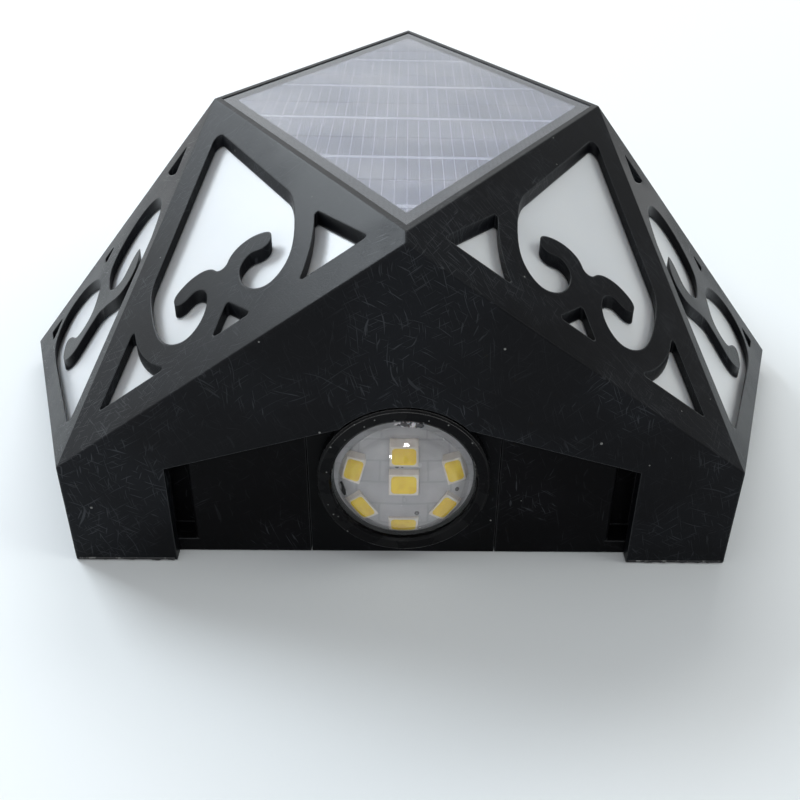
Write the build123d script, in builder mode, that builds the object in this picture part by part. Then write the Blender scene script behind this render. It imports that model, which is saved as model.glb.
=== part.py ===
from build123d import *
import os

os.makedirs("parts", exist_ok=True)

# Millimetres. +Z points out of the fence, +Y up along it, and the lens end faces -Y.

# Outer form of the front shell
end_half = 48.0       # half width of the gabled end faces
half_len = 58.5       # middle to each end face
side_half = 71.0      # middle to the side corners
corner_z = 16.5       # height of the end faces' outer corners
peak_z = 50.5         # gable peak of the end faces
top_z = 51.3          # flat rhombus that carries the panel
top_half = 32.6       # half width of the rhombus
side_z = 4.0          # height of the side corners
edge_round = 0.4      # outer edges
wall = 2.0            # side walls, and the facets measured straight down
seat = 0.3            # clearance between pieces that lie against each other
edge_fit = 0.25       # clearance of the back cover inside the shell

# Solar panel in its window
rim = 1.0             # shell rim round the panel
panel_fit = 0.2       # panel edge to rim
film_t = 0.55         # clear laminate over the cells
film_low = 0.15       # film below the shell's top
board_t = 1.2         # rhombic board
tape_t = 0.4          # foam tape
tape_w = 2.4
cell_t = 0.25
cell_inset = 2.2      # cells inside the film's edge
cell_rows = 6
cell_split = 0.8      # gap between two cell rows
ledge_w = 4.0         # window ledge
ledge_t = 2.0

# Milky diffuser
skin = 1.2            # diffuser wall
skin_fit = 0.4        # diffuser to the shell's side walls

# Back cover
cover_t = 2.2
end_wall_t = 1.8
end_wall_peak = 28.5  # top of the end wall in the middle
end_wall_slope = 0.283
pad_r = 3.2           # pads under the shell's posts
pad_z = 4.5
post_r = 2.3          # shell posts, hidden under the ridges between facets
post_along = 0.35     # along a ridge from the end face's corner
post_in = 0.5         # off the ridge, towards the middle
side_post_in = 11.0   # side posts in from the side corners
pilot_r = 1.1         # hole for a cover screw
pilot_deep = 9.0
screw_r = 1.05        # cover screws
screw_head_r = 2.2
screw_head_t = 1.6
screw_sunk = 0.4      # head below the back
screw_len = 9.5

# Lens end
notch_half = 33.3     # half width of the shell's cut-out
notch_side_z = 16.5   # its height at the sides
notch_slope = 0.283
block_half = 13.6     # lens block between the two seams
seam = 0.15
gap_w = 2.6           # dark gap between each leg of the shell and the end wall
gap_deep = 4.0
gap_wall = 1.2
spot_z = 14.6         # lens centre
bezel_r = 12.2
bezel_lip_r = 10.2
bezel_proud = 0.3     # bezel in front of the end face
bezel_lip = 0.6
lens_r = 9.2          # dome at its foot
lens_rise = 4.2
flange_r = 11.1
flange_t = 0.8
lamp_board_r = 9.9
lamp_board_t = 1.2
lamp_ring_r = 6.6     # ring of lamps on the lens board, with its two top places empty
lamp_ring_places = 7
lamp_ring_used = 5
lamp_column = (-0.4, 3.6)  # two lamps over each other, from the lens centre
lamp_gap = 0.1        # lamps to the lens

# Surface-mount lamps
lamp_l = 3.5
lamp_w = 2.8
lamp_h = 0.7
lamp_win_l = 3.0
lamp_win_w = 2.4
lamp_win_t = 0.25

# Main board
pcb_l = 70.0
pcb_w = 32.0
pcb_t = 1.6
pcb_in = 50.5         # its centre in from the far end face
pcb_z = 10.0
pcb_hole_in = 4.0     # hole centres from the board's edges
pcb_post_r = 2.6
glow_pitch = 16.0     # between the lamps along the board
glow_in = 3.5         # lamps in from the board's long edges
small_screw_r = 0.95
small_head_r = 1.9
small_head_t = 1.2

# Battery
cell_r = 7.1
sleeve_len = 48.6
cap_r = 6.4
cap_t = 0.4
nub_r = 2.7
nub_t = 1.2
tab_t = 0.3
tab_w = 5.0
battery_in = 28.5     # its axis in from the lens end face
cradle_t = 1.5
cradle_half_w = 13.5
cradle_half_l = 36.0
cradle_wall = 1.8
strap_w = 8.0
strap_t = 1.0

# Push button in the back
button_x = 25.0
button_y = 2.0
button_r = 4.0
button_low = 0.3      # button face below the back
button_travel = 0.8
flange_out = 1.6      # button flange beyond the stem
switch_half = 3.0
switch_h = 3.5
plunger_r = 1.7
plunger_len = 1.9
plunger_out = 0.9
plunger_fit = 0.05    # plunger in the switch's bore

# Keyholes of the back cover
key_x = 25.0
key_y = 36.0
key_entry_r = 4.0
key_slot = 4.4
key_rise = 8.0        # entry centre to slot end centre
key_deep = 5.0        # room behind the cover for a screw head
key_wall = 1.4

# Rubber cord round the back cover's edge
seal_z = 0.65
seal_t = 0.9
seal_fit = 0.05
groove_deep = 0.9
seal_start = 8.0      # from the lens end face to where the cord starts

# Derived heights and positions
ridge_slope = (top_z - peak_z + (peak_z - corner_z) * top_half / end_half) / half_len
tip_y = half_len - (top_z - peak_z) / ridge_slope
front = -half_len
cover_front = front + wall + edge_fit
cover_inset = wall + edge_fit
film_top = top_z - film_low
board_top = film_top - film_t
tape_top = board_top - board_t
window_z = tape_top - tape_t
post_z = pad_z + seat
battery_y = battery_in - half_len
battery_z = cover_t + cradle_t + 0.1 + cell_r
pcb_y = half_len - pcb_in
gap_x = notch_half - gap_w
lens_front = front - bezel_proud + bezel_lip + 0.05
lamp_front = lens_front + flange_t + lamp_gap
lamp_board_front = lamp_front + lamp_h
post_x = end_half - (end_half - top_half) * post_along - post_in
post_y = half_len * (1 - post_along)
posts_at = [(sx * post_x, sy * post_y) for sx in (-1, 1) for sy in (-1, 1)]
posts_at += [(side_post_in - side_half, 0), (side_half - side_post_in, 0)]
plan = [
    (side_half, 0),
    (end_half, half_len),
    (-end_half, half_len),
    (-side_half, 0),
    (-end_half, -half_len),
    (end_half, -half_len),
]
top_plan = [(top_half, 0), (0, tip_y), (-top_half, 0), (0, -tip_y)]
end_plane = Plane.XZ.offset(half_len)
lens_axis = Axis((0, 0, spot_z), (0, 1, 0))


def upward_plane(a, b, c):
    """Plane through three points, X from a to b, Z pointing up."""
    start = Vector(a)
    along = Vector(b) - start
    normal = along.cross(Vector(c) - start)
    if normal.Z < 0:
        normal = normal * -1
    return Plane(origin=start, x_dir=along, z_dir=normal)


def facet_planes():
    """The eight facets, two at each side of each end."""
    planes = []
    for sx in (-1, 1):
        for sy in (-1, 1):
            peak = (0, sy * half_len, peak_z)
            corner = (sx * end_half, sy * half_len, corner_z)
            top = (sx * top_half, 0, top_z)
            side = (sx * side_half, 0, side_z)
            planes.append(upward_plane(peak, corner, top))
            planes.append(upward_plane(corner, side, top))
    return planes


def faceted(inset, drop):
    """The shell's closed outer form, moved in at the sides and down at the top."""
    with BuildPart() as form:
        with BuildSketch():
            Polygon(*plan, align=None)
            if inset > 0:
                offset(amount=-inset, kind=Kind.INTERSECTION)
        extrude(amount=top_z - drop)
        for plane in facet_planes():
            lowered = Plane(origin=plane.origin - Vector(0, 0, drop), x_dir=plane.x_dir, z_dir=plane.z_dir)
            split(bisect_by=lowered, keep=Keep.BOTTOM)
    return form.part


def rhombus(z, inset, height):
    """Rhombic plate that follows the panel window."""
    with BuildPart() as plate:
        with BuildSketch(Plane.XY.offset(z)):
            Polygon(*top_plan, align=None)
            if inset != 0:
                offset(amount=-inset, kind=Kind.INTERSECTION)
        extrude(amount=height)
    return plate.part


def hex_plate(z, inset, height):
    """Six-sided plate that follows the shell's plan."""
    with BuildPart() as plate:
        with BuildSketch(Plane.XY.offset(z)):
            Polygon(*plan, align=None)
            offset(amount=-inset, kind=Kind.INTERSECTION)
        extrude(amount=height)
    return plate.part


def edge_ring(z, inset, width, height):
    """Ring just inside the shell's plan, left out along the lens end."""
    with BuildPart() as ring:
        add(hex_plate(z, inset, height))
        add(hex_plate(z, inset + width, height), mode=Mode.SUBTRACT)
        with BuildSketch(Plane.XY.offset(z)):
            with Locations((0, -half_len)):
                Rectangle(4 * side_half, 2 * seal_start)
        extrude(amount=height, mode=Mode.SUBTRACT)
    return ring.part


# Scroll cut-outs, cut straight down as the mould draws them. Each is drawn on a facet of the size
# given here, p along the facet's base edge and q away from it, and scaled to the facet it lies on.
inner_drawn = (58.8, 61.7)
outer_drawn = (60.9, 59.3)
left_peak = Vector(0, -half_len, peak_z)
left_corner = Vector(-end_half, -half_len, corner_z)
left_top = Vector(-top_half, 0, top_z)
left_side = Vector(-side_half, 0, side_z)
inner_plane = Plane(
    origin=left_corner + (left_peak - left_corner) * 0.529,
    x_dir=left_peak - left_corner,
    z_dir=upward_plane(left_corner, left_peak, left_top).z_dir,
)
outer_plane = Plane(
    origin=left_side + (left_top - left_side) * 0.4745,
    x_dir=left_side - left_top,
    z_dir=upward_plane(left_side, left_top, left_corner).z_dir,
)
inner_wide = (left_peak - left_corner).length / inner_drawn[0]
inner_tall = inner_plane.to_local_coords(left_top).Y / inner_drawn[1]
outer_wide = (left_top - left_side).length / outer_drawn[0]
outer_tall = outer_plane.to_local_coords(left_corner).Y / outer_drawn[1]
inner_facet = (inner_plane, inner_wide, inner_tall)
outer_facet = (outer_plane, outer_wide, outer_tall)

# Half outlines: curl from the cleft over its back, round its head and under it, then down the stem,
# round the lobe and up the flank
inner_half = [
    (1.1, 18.3),
    (2.2, 19.5),
    (4.5, 20.15),
    (7.3, 19.55),
    (8.9, 18.1),
    (8.6, 16.8),
    (7.1, 16.35),
    (5.1, 16.9),
    (3.4, 15.9),
    (2.95, 13.8),
    (4.1, 10.5),
    (7.1, 8.65),
    (10.4, 10.2),
    (12.3, 14.0),
    (13.1, 19.0),
    (13.15, 22.8),
    (12.3, 25.6),
]
outer_half = [
    (1.6, 25.5),
    (4.2, 26.6),
    (7.8, 28.0),
    (10.6, 27.0),
    (12.4, 22.6),
    (11.9, 20.0),
    (10.2, 20.8),
    (7.4, 23.6),
    (3.6, 22.3),
    (2.1, 18.4),
    (2.0, 12.6),
    (5.4, 8.4),
    (10.6, 6.4),
    (15.4, 7.6),
    (17.7, 11.4),
    (17.8, 15.5),
    (16.9, 18.8),
    (15.9, 21.5),
]


def scroll(facet, centre, slope, cleft, half, apex):
    """Heart-shaped opening with two curls that rise from its foot."""
    plane, wide, tall = facet

    def at(p, q):
        return (wide * (centre + p), tall * (q + slope * p))

    top = (wide * apex[0], tall * apex[1])
    with BuildSketch(plane) as opening:
        with BuildLine():
            ThreePointArc(at(-half[0][0], half[0][1]), at(0, cleft), at(half[0][0], half[0][1]))
            for s in (-1, 1):
                points = [at(s * p, q) for p, q in half]
                Spline(*points)
                Line(points[-1], top)
        make_face()
        fillet(opening.vertices().sort_by(Axis.Y)[-1], radius=1.2)
    return opening.sketch


def spandrel(facet, base_near, base_far, q, apex, bow):
    """Three-cornered hole between the heart's lobe and a facet corner."""
    plane, wide, tall = facet
    near = (wide * base_near, tall * q)
    far = (wide * base_far, tall * q)
    top = (wide * apex[0], tall * apex[1])
    with BuildSketch(plane) as hole:
        with BuildLine():
            Line(near, far)
            Line(far, top)
            ThreePointArc(top, (wide * bow[0], tall * bow[1]), near)
        make_face()
        fillet(hole.vertices(), radius=0.4)
    return hole.sketch


def foot_hole(facet, near, far, q, apex):
    """Small three-cornered hole under the curls."""
    plane, wide, tall = facet
    with BuildSketch(plane) as hole:
        Polygon(
            (wide * near, tall * q),
            (wide * far, tall * q),
            (wide * apex[0], tall * apex[1]),
            align=None,
        )
        fillet(hole.vertices(), radius=0.5)
    return hole.sketch


cut_deep = wall + 3
scroll_holes = [
    scroll(inner_facet, 0, 0.02, 17.7, inner_half, (1.6, 51.8)),
    spandrel(inner_facet, -10.7, -23.3, 5.6, (-16.5, 17.8), (-14.6, 10.2)),
    spandrel(inner_facet, 12.0, 23.1, 5.5, (16.3, 17.2), (14.7, 10.6)),
    foot_hole(inner_facet, -2.7, 4.2, 5.5, (0.4, 10.7)),
    scroll(outer_facet, 0.9, -0.1, 25.0, outer_half, (3.8, 51.1)),
    spandrel(outer_facet, 18.6, 22.6, 4.4, (20.7, 9.4), (19.3, 6.9)),
    spandrel(outer_facet, -17.8, -24.0, 4.4, (-20.9, 10.2), (-18.8, 7.2)),
    foot_hole(outer_facet, -0.5, 3.3, 4.1, (2.4, 7.2)),
]

with BuildPart() as scroll_cuts:
    for hole in scroll_holes:
        extrude(hole, amount=cut_deep, dir=(0, 0, 1), both=True)
    mirror(about=Plane.YZ)
    mirror(about=Plane.XZ)

# Posts run up from the back cover's pads into the facets.
with BuildPart() as posts:
    with BuildSketch(Plane.XY.offset(post_z)):
        with Locations(*posts_at):
            Circle(post_r)
    extrude(amount=top_z)
    add(faceted(wall / 2, wall / 2), mode=Mode.INTERSECT)

# Front shell
with BuildPart() as front_shell:
    add(faceted(0, 0))
    fillet(front_shell.edges().filter_by(lambda edge: edge.center().Z > edge_round), radius=edge_round)
    add(faceted(wall, wall), mode=Mode.SUBTRACT)
    add(rhombus(window_z - ledge_t, 0, ledge_t + 0.4))
    add(posts.part)
    add(rhombus(window_z, rim, top_z), mode=Mode.SUBTRACT)
    add(rhombus(0, ledge_w, top_z), mode=Mode.SUBTRACT)
    add(scroll_cuts.part, mode=Mode.SUBTRACT)
    with BuildSketch(end_plane):
        gable_top = notch_side_z + notch_slope * notch_half
        Polygon(
            (-notch_half, -1),
            (notch_half, -1),
            (notch_half, notch_side_z),
            (0, gable_top),
            (-notch_half, notch_side_z),
            align=None,
        )
        with Locations((0, spot_z)):
            Circle(bezel_r + seat)
    extrude(amount=-(wall + 0.5), mode=Mode.SUBTRACT)
    with BuildSketch(Plane.XY.offset(post_z)):
        with Locations(*posts_at):
            Circle(pilot_r)
    extrude(amount=pilot_deep, mode=Mode.SUBTRACT)
front_shell.part.label = "front_shell"

# Milky diffuser close under the facets
diffuser_end = cover_front + end_wall_t + seat
with BuildPart() as diffuser:
    add(faceted(wall + skin_fit, wall + seat))
    add(faceted(wall + skin_fit + skin, wall + seat + skin), mode=Mode.SUBTRACT)
    add(rhombus(window_z - ledge_t - 2 * skin, -skin_fit, top_z), mode=Mode.SUBTRACT)
    with BuildSketch(Plane.XY):
        Rectangle(4 * side_half, 4 * half_len)
    extrude(amount=cover_t + seat, mode=Mode.SUBTRACT)
    with BuildSketch(Plane.XY):
        with Locations((0, diffuser_end - half_len)):
            Rectangle(4 * side_half, 2 * half_len)
    extrude(amount=top_z, mode=Mode.SUBTRACT)
    with BuildSketch(Plane.XY):
        with Locations(*posts_at):
            Circle(post_r + seat)
    extrude(amount=top_z, mode=Mode.SUBTRACT)
diffuser.part.label = "diffuser"

# Solar panel: tape, board, cells and film
with BuildPart() as panel_tape:
    add(rhombus(window_z, rim + 0.5, tape_t))
    add(rhombus(window_z, rim + 0.5 + tape_w, tape_t), mode=Mode.SUBTRACT)
panel_tape.part.label = "panel_tape"

with BuildPart() as solar_board:
    add(rhombus(tape_top, rim + panel_fit, board_t))
solar_board.part.label = "solar_board"

cell_pitch = 2 * tip_y / cell_rows
with BuildPart() as solar_cells:
    add(rhombus(board_top, rim + panel_fit + cell_inset, cell_t))
    with BuildSketch(Plane.XY.offset(board_top)):
        with GridLocations(0, cell_pitch, 1, cell_rows - 1):
            Rectangle(4 * top_half, cell_split)
    extrude(amount=cell_t, mode=Mode.SUBTRACT)
solar_cells.part.label = "solar_cells"

with BuildPart() as solar_film:
    add(rhombus(board_top, rim + panel_fit, film_t))
    add(rhombus(board_top, rim + panel_fit + cell_inset - 0.1, cell_t + 0.05), mode=Mode.SUBTRACT)
solar_film.part.label = "solar_film"

# Back cover: plate, end wall with a slot for the lens block, pads, keyhole rooms, board posts
pcb_holes = [
    (sx * (pcb_l / 2 - pcb_hole_in), pcb_y + sy * (pcb_w / 2 - pcb_hole_in))
    for sx in (-1, 1)
    for sy in (-1, 1)
]
cradle_holes = [(-cradle_half_l + 3.2, battery_y), (cradle_half_l - 3.2, battery_y)]
strap_holes = [(0, battery_y - cell_r - 4.2), (0, battery_y + cell_r + 4.2)]
key_room_w = 2 * key_entry_r + 1.6
key_room_l = key_rise + key_entry_r + key_slot / 2 + 1.6
key_room_y = key_y + (key_rise + key_slot / 2 - key_entry_r) / 2
block_deep = end_wall_t + 2.0
end_wall_low = end_wall_peak - end_wall_slope * (end_half - cover_inset)
with BuildPart() as back_cover:
    add(hex_plate(0, cover_inset, cover_t))
    with BuildSketch(Plane.XZ.offset(-cover_front)):
        Polygon(
            (-end_half + cover_inset, 0),
            (end_half - cover_inset, 0),
            (end_half - cover_inset, end_wall_low),
            (0, end_wall_peak),
            (-end_half + cover_inset, end_wall_low),
            align=None,
        )
    extrude(amount=-end_wall_t)
    gap_room_w = gap_w + gap_wall
    gap_room_x = gap_x + gap_room_w / 2
    gap_top = notch_side_z + notch_slope * gap_w
    with BuildSketch(Plane.XY):
        with Locations((-gap_room_x, cover_front), (gap_room_x, cover_front)):
            Rectangle(
                gap_room_w + 2 * gap_wall,
                gap_deep + gap_wall,
                align=(Align.CENTER, Align.MIN),
            )
    extrude(amount=gap_top + gap_wall)
    with BuildSketch(Plane.XY.offset(cover_t)):
        with Locations((-gap_room_x, cover_front), (gap_room_x, cover_front)):
            Rectangle(gap_room_w, gap_deep, align=(Align.CENTER, Align.MIN))
    extrude(amount=gap_top - cover_t, mode=Mode.SUBTRACT)
    end_edges = back_cover.edges().filter_by(Axis.Z).group_by(Axis.Y)[0]
    fillet(end_edges.filter_by(lambda edge: abs(edge.center().X) < gap_x + 0.1), radius=gap_wall / 2)
    with BuildSketch(Plane.XY):
        with Locations(*posts_at):
            Circle(pad_r)
    extrude(amount=pad_z)
    with BuildSketch(Plane.XY.offset(cover_t)):
        with Locations((-key_x, key_room_y), (key_x, key_room_y)):
            Rectangle(key_room_w + 2 * key_wall, key_room_l + 2 * key_wall)
    extrude(amount=key_deep + key_wall)
    with BuildSketch(Plane.XY.offset(cover_t)):
        with Locations((-key_x, key_room_y), (key_x, key_room_y)):
            Rectangle(key_room_w, key_room_l)
    extrude(amount=key_deep, mode=Mode.SUBTRACT)
    with BuildSketch(Plane.XY):
        with Locations((-key_x, key_y), (key_x, key_y)):
            Circle(key_entry_r)
        with Locations((-key_x, key_y + key_rise / 2), (key_x, key_y + key_rise / 2)):
            SlotCenterToCenter(key_rise, key_slot, rotation=90)
    extrude(amount=cover_t, mode=Mode.SUBTRACT)
    with BuildSketch(Plane.XY.offset(cover_t)):
        with Locations(*pcb_holes):
            Circle(pcb_post_r)
    extrude(amount=pcb_z - cover_t)
    with BuildSketch(Plane.XY):
        with Locations(*posts_at):
            Circle(screw_r + 0.35)
    extrude(amount=pad_z, mode=Mode.SUBTRACT)
    with BuildSketch(Plane.XY):
        with Locations(*posts_at):
            Circle(screw_head_r + seat)
    extrude(amount=screw_sunk + screw_head_t, mode=Mode.SUBTRACT)
    with BuildSketch(Plane.XY):
        with Locations((button_x, button_y)):
            Circle(button_r + seat)
    extrude(amount=cover_t, mode=Mode.SUBTRACT)
    with BuildSketch(Plane.XY):
        with Locations((0, cover_front + block_deep / 2)):
            Rectangle(2 * (block_half + seam), block_deep + 2 * seam)
    extrude(amount=2 * end_wall_peak, mode=Mode.SUBTRACT)
    with BuildSketch(Plane.XY.offset(pcb_z)):
        with Locations(*pcb_holes):
            Circle(small_screw_r + 0.05)
    extrude(amount=-6, mode=Mode.SUBTRACT)
    with BuildSketch(Plane.XY.offset(cover_t)):
        with Locations(*(cradle_holes + strap_holes)):
            Circle(small_screw_r + 0.05)
    extrude(amount=0.5 - cover_t, mode=Mode.SUBTRACT)
    add(edge_ring(seal_z - seal_fit, cover_inset - 1, groove_deep + 1, seal_t + 2 * seal_fit), mode=Mode.SUBTRACT)
back_cover.part.label = "back_cover"

# Lens block: plate in the end wall's slot, ledge for the lamp board, barrel behind
with BuildPart() as spot_holder:
    with BuildSketch(Plane.XZ.offset(-cover_front)):
        Polygon(
            (-block_half, 0),
            (block_half, 0),
            (block_half, end_wall_peak - end_wall_slope * block_half),
            (0, end_wall_peak),
            (-block_half, end_wall_peak - end_wall_slope * block_half),
            align=None,
        )
    extrude(amount=-end_wall_t)
    with BuildSketch(Plane.XZ.offset(-cover_front - end_wall_t)):
        with Locations((0, spot_z)):
            Circle(bezel_r - 0.6)
    extrude(amount=-block_deep)
    with BuildSketch(Plane.XZ.offset(-cover_front - end_wall_t - seat)):
        with Locations((0, (cover_t + seat + end_wall_peak - 5) / 2)):
            Rectangle(2 * block_half + 5, end_wall_peak - 5 - cover_t - seat)
    extrude(amount=-1.2)
    with BuildSketch(Plane.XZ.offset(-cover_front)):
        with Locations((0, spot_z)):
            Circle(lamp_board_r + 0.1)
    extrude(amount=-(lamp_board_front + lamp_board_t - cover_front), mode=Mode.SUBTRACT)
    with BuildSketch(Plane.XZ.offset(-cover_front)):
        with Locations((0, spot_z)):
            Circle(lamp_board_r - 1.6)
    extrude(amount=-2 * block_deep, mode=Mode.SUBTRACT)
spot_holder.part.label = "spot_holder"

with BuildPart() as lens_bezel:
    with BuildSketch(Plane.XZ.offset(-cover_front)):
        with Locations((0, spot_z)):
            Circle(bezel_r)
            Circle(flange_r + 0.1, mode=Mode.SUBTRACT)
    extrude(amount=cover_front - (front - bezel_proud))
    with BuildSketch(Plane.XZ.offset(-(front - bezel_proud))):
        with Locations((0, spot_z)):
            Circle(flange_r + 0.15)
            Circle(bezel_lip_r, mode=Mode.SUBTRACT)
    extrude(amount=-bezel_lip)
    chamfer(lens_bezel.edges().filter_by(GeomType.CIRCLE).group_by(Axis.Y)[0], length=0.3)
lens_bezel.part.label = "lens_bezel"

dome_r = (lens_r**2 + lens_rise**2) / (2 * lens_rise)
with BuildPart() as dome_lens:
    with BuildSketch(Plane.XZ.offset(-lens_front)):
        with Locations((0, spot_z)):
            Circle(flange_r)
    extrude(amount=-flange_t)
    with BuildSketch(Plane.YZ):
        with BuildLine():
            tip = (lens_front - lens_rise, spot_z)
            Line((lens_front + 0.2, spot_z), tip)
            RadiusArc(tip, (lens_front, spot_z + lens_r), dome_r)
            Line((lens_front, spot_z + lens_r), (lens_front + 0.2, spot_z + lens_r))
            Line((lens_front + 0.2, spot_z + lens_r), (lens_front + 0.2, spot_z))
        make_face()
    revolve(axis=lens_axis)
dome_lens.part.label = "dome_lens"

with BuildPart() as lens_gasket:
    with BuildSketch(Plane.XZ.offset(-(lens_front + flange_t))):
        with Locations((0, spot_z)):
            Circle(flange_r)
            Circle(lamp_board_r + 0.3, mode=Mode.SUBTRACT)
    extrude(amount=-(cover_front - lens_front - flange_t))
lens_gasket.part.label = "lens_gasket"

with BuildPart() as spot_board:
    with BuildSketch(Plane.XZ.offset(-lamp_board_front)):
        with Locations((0, spot_z)):
            Circle(lamp_board_r)
    extrude(amount=-lamp_board_t)
spot_board.part.label = "spot_board"


def lamps_on(plane, spots):
    """Lamp bodies with a shallow window pocket, standing on a plane."""
    with BuildPart() as bodies:
        for x, y, turn in spots:
            with BuildSketch(plane):
                with Locations(Location((x, y), turn)):
                    Rectangle(lamp_l, lamp_w)
        extrude(amount=lamp_h)
        for x, y, turn in spots:
            with BuildSketch(plane.offset(lamp_h)):
                with Locations(Location((x, y), turn)):
                    RectangleRounded(lamp_win_l, lamp_win_w, 0.5)
        extrude(amount=-lamp_win_t, mode=Mode.SUBTRACT)
    return bodies.part


def windows_on(plane, spots):
    """Phosphor windows of the same lamps."""
    with BuildPart() as windows:
        for x, y, turn in spots:
            with BuildSketch(plane.offset(lamp_h - lamp_win_t)):
                with Locations(Location((x, y), turn)):
                    RectangleRounded(lamp_win_l, lamp_win_w, 0.5)
        extrude(amount=lamp_win_t)
    return windows.part


# Lens board's lamps: two in the middle, the others on a ring, long sides along the ring
spot_plane = Plane.XZ.offset(-lamp_board_front)
spot_lamps = [(0, spot_z + height, 0) for height in lamp_column]
for place in range(lamp_ring_used):
    turn = (place - (lamp_ring_used - 1) / 2) * 360 / lamp_ring_places
    arm = Vector(0, -lamp_ring_r, 0).rotate(Axis.Z, turn)
    spot_lamps.append((arm.X, spot_z + arm.Y, turn))
with BuildPart() as spot_led_bodies:
    add(lamps_on(spot_plane, spot_lamps))
spot_led_bodies.part.label = "spot_led_bodies"
with BuildPart() as spot_led_phosphor:
    add(windows_on(spot_plane, spot_lamps))
spot_led_phosphor.part.label = "spot_led_phosphor"

with BuildPart() as spot_resistor:
    with BuildSketch(spot_plane):
        with Locations(Location((-7.7, spot_z - 2.0), -65)):
            Rectangle(1.6, 0.8)
    extrude(amount=0.45)
spot_resistor.part.label = "spot_resistor"

# Main board and its components
pcb_top = pcb_z + pcb_t
with BuildPart() as main_board:
    with BuildSketch(Plane.XY.offset(pcb_z)):
        with Locations((0, pcb_y)):
            RectangleRounded(pcb_l, pcb_w, 2)
        with Locations(*pcb_holes):
            Circle(small_screw_r + 0.25, mode=Mode.SUBTRACT)
    extrude(amount=pcb_t)
main_board.part.label = "main_board"

top_plane = Plane.XY.offset(pcb_top)
glow_x = [glow_pitch * (column - 1.5) for column in range(4)]
glow_lamps = [(x, pcb_y + side * (pcb_w / 2 - glow_in), 0) for x in glow_x for side in (-1, 1)]
with BuildPart() as glow_led_bodies:
    add(lamps_on(top_plane, glow_lamps))
glow_led_bodies.part.label = "glow_led_bodies"
with BuildPart() as glow_led_phosphor:
    add(windows_on(top_plane, glow_lamps))
glow_led_phosphor.part.label = "glow_led_phosphor"

chip_at = (-14.0, pcb_y)
with BuildPart() as control_chip:
    with BuildSketch(top_plane.offset(0.1)):
        with Locations(chip_at):
            Rectangle(4.9, 3.9)
    extrude(amount=1.45)
    chamfer(control_chip.faces().sort_by(Axis.Z)[-1].edges(), length=0.25)
    with BuildSketch(top_plane):
        with Locations(chip_at):
            with GridLocations(1.27, 0, 4, 1):
                Rectangle(0.42, 6.0)
    extrude(amount=0.25)
control_chip.part.label = "control_chip"

with BuildPart() as inductor:
    with BuildSketch(top_plane):
        with Locations((0, pcb_y)):
            Circle(3.6)
    extrude(amount=0.8)
    with BuildSketch(top_plane):
        with Locations((0, pcb_y)):
            Circle(2.9)
    extrude(amount=4.2)
    with BuildSketch(top_plane.offset(4.2)):
        with Locations((0, pcb_y)):
            Circle(3.6)
    extrude(amount=0.8)
inductor.part.label = "inductor"

with BuildPart() as capacitor:
    with BuildSketch(top_plane):
        with Locations((12, pcb_y)):
            Circle(3.15)
    extrude(amount=7.5)
    fillet(capacitor.faces().sort_by(Axis.Z)[-1].edges(), radius=0.4)
capacitor.part.label = "capacitor"

with BuildPart() as board_resistors:
    with BuildSketch(top_plane):
        with Locations((24, pcb_y)):
            with GridLocations(0, 2.4, 1, 5):
                Rectangle(2.0, 1.25)
    extrude(amount=0.5)
board_resistors.part.label = "board_resistors"

# Push switch under the main board, and the button in the back cover
with BuildPart() as switch_body:
    with BuildSketch(Plane.XY.offset(pcb_z - switch_h)):
        with Locations((button_x, button_y)):
            Rectangle(2 * switch_half, 2 * switch_half)
    extrude(amount=switch_h)
    with BuildSketch(Plane.XY.offset(pcb_z - switch_h)):
        with Locations((button_x, button_y)):
            Circle(plunger_r + plunger_fit)
    extrude(amount=plunger_len - plunger_out + button_travel + seat, mode=Mode.SUBTRACT)
switch_body.part.label = "switch_body"

plunger_z = pcb_z - switch_h - plunger_out
with BuildPart() as switch_plunger:
    with BuildSketch(Plane.XY.offset(plunger_z)):
        with Locations((button_x, button_y)):
            Circle(plunger_r)
    extrude(amount=plunger_len)
switch_plunger.part.label = "switch_plunger"

with BuildPart() as power_button:
    with BuildSketch(Plane.XY.offset(button_low)):
        with Locations((button_x, button_y)):
            Circle(button_r)
    extrude(amount=plunger_z - button_low)
    with BuildSketch(Plane.XY.offset(cover_t + seat + 0.8)):
        with Locations((button_x, button_y)):
            Circle(button_r)
            Circle(plunger_r + 0.6, mode=Mode.SUBTRACT)
    extrude(amount=plunger_z, mode=Mode.SUBTRACT)
    with BuildSketch(Plane.XY.offset(cover_t + seat)):
        with Locations((button_x, button_y)):
            Circle(button_r + flange_out)
    extrude(amount=0.8)
    fillet(power_button.edges().filter_by(GeomType.CIRCLE).sort_by(Axis.Z)[0], radius=0.25)
power_button.part.label = "power_button"

# Battery along X in a cradle, with end tabs and a strap
cell_end = sleeve_len / 2
plus_end = cell_end + cap_t + nub_t
minus_end = -cell_end - cap_t
cell_plane = Plane.YZ.offset(-cell_end)
with BuildPart() as battery_cell:
    with BuildSketch(cell_plane):
        with Locations((battery_y, battery_z)):
            Circle(cell_r)
    extrude(amount=sleeve_len)
    fillet(battery_cell.edges().filter_by(GeomType.CIRCLE), radius=0.6)
battery_cell.part.label = "battery_cell"

with BuildPart() as battery_caps:
    with BuildSketch(Plane.YZ.offset(cell_end)):
        with Locations((battery_y, battery_z)):
            Circle(cap_r)
    extrude(amount=cap_t)
    with BuildSketch(Plane.YZ.offset(cell_end + cap_t)):
        with Locations((battery_y, battery_z)):
            Circle(nub_r)
    extrude(amount=nub_t)
    with BuildSketch(Plane.YZ.offset(-cell_end)):
        with Locations((battery_y, battery_z)):
            Circle(cap_r)
    extrude(amount=-cap_t)
battery_caps.part.label = "battery_caps"

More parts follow.
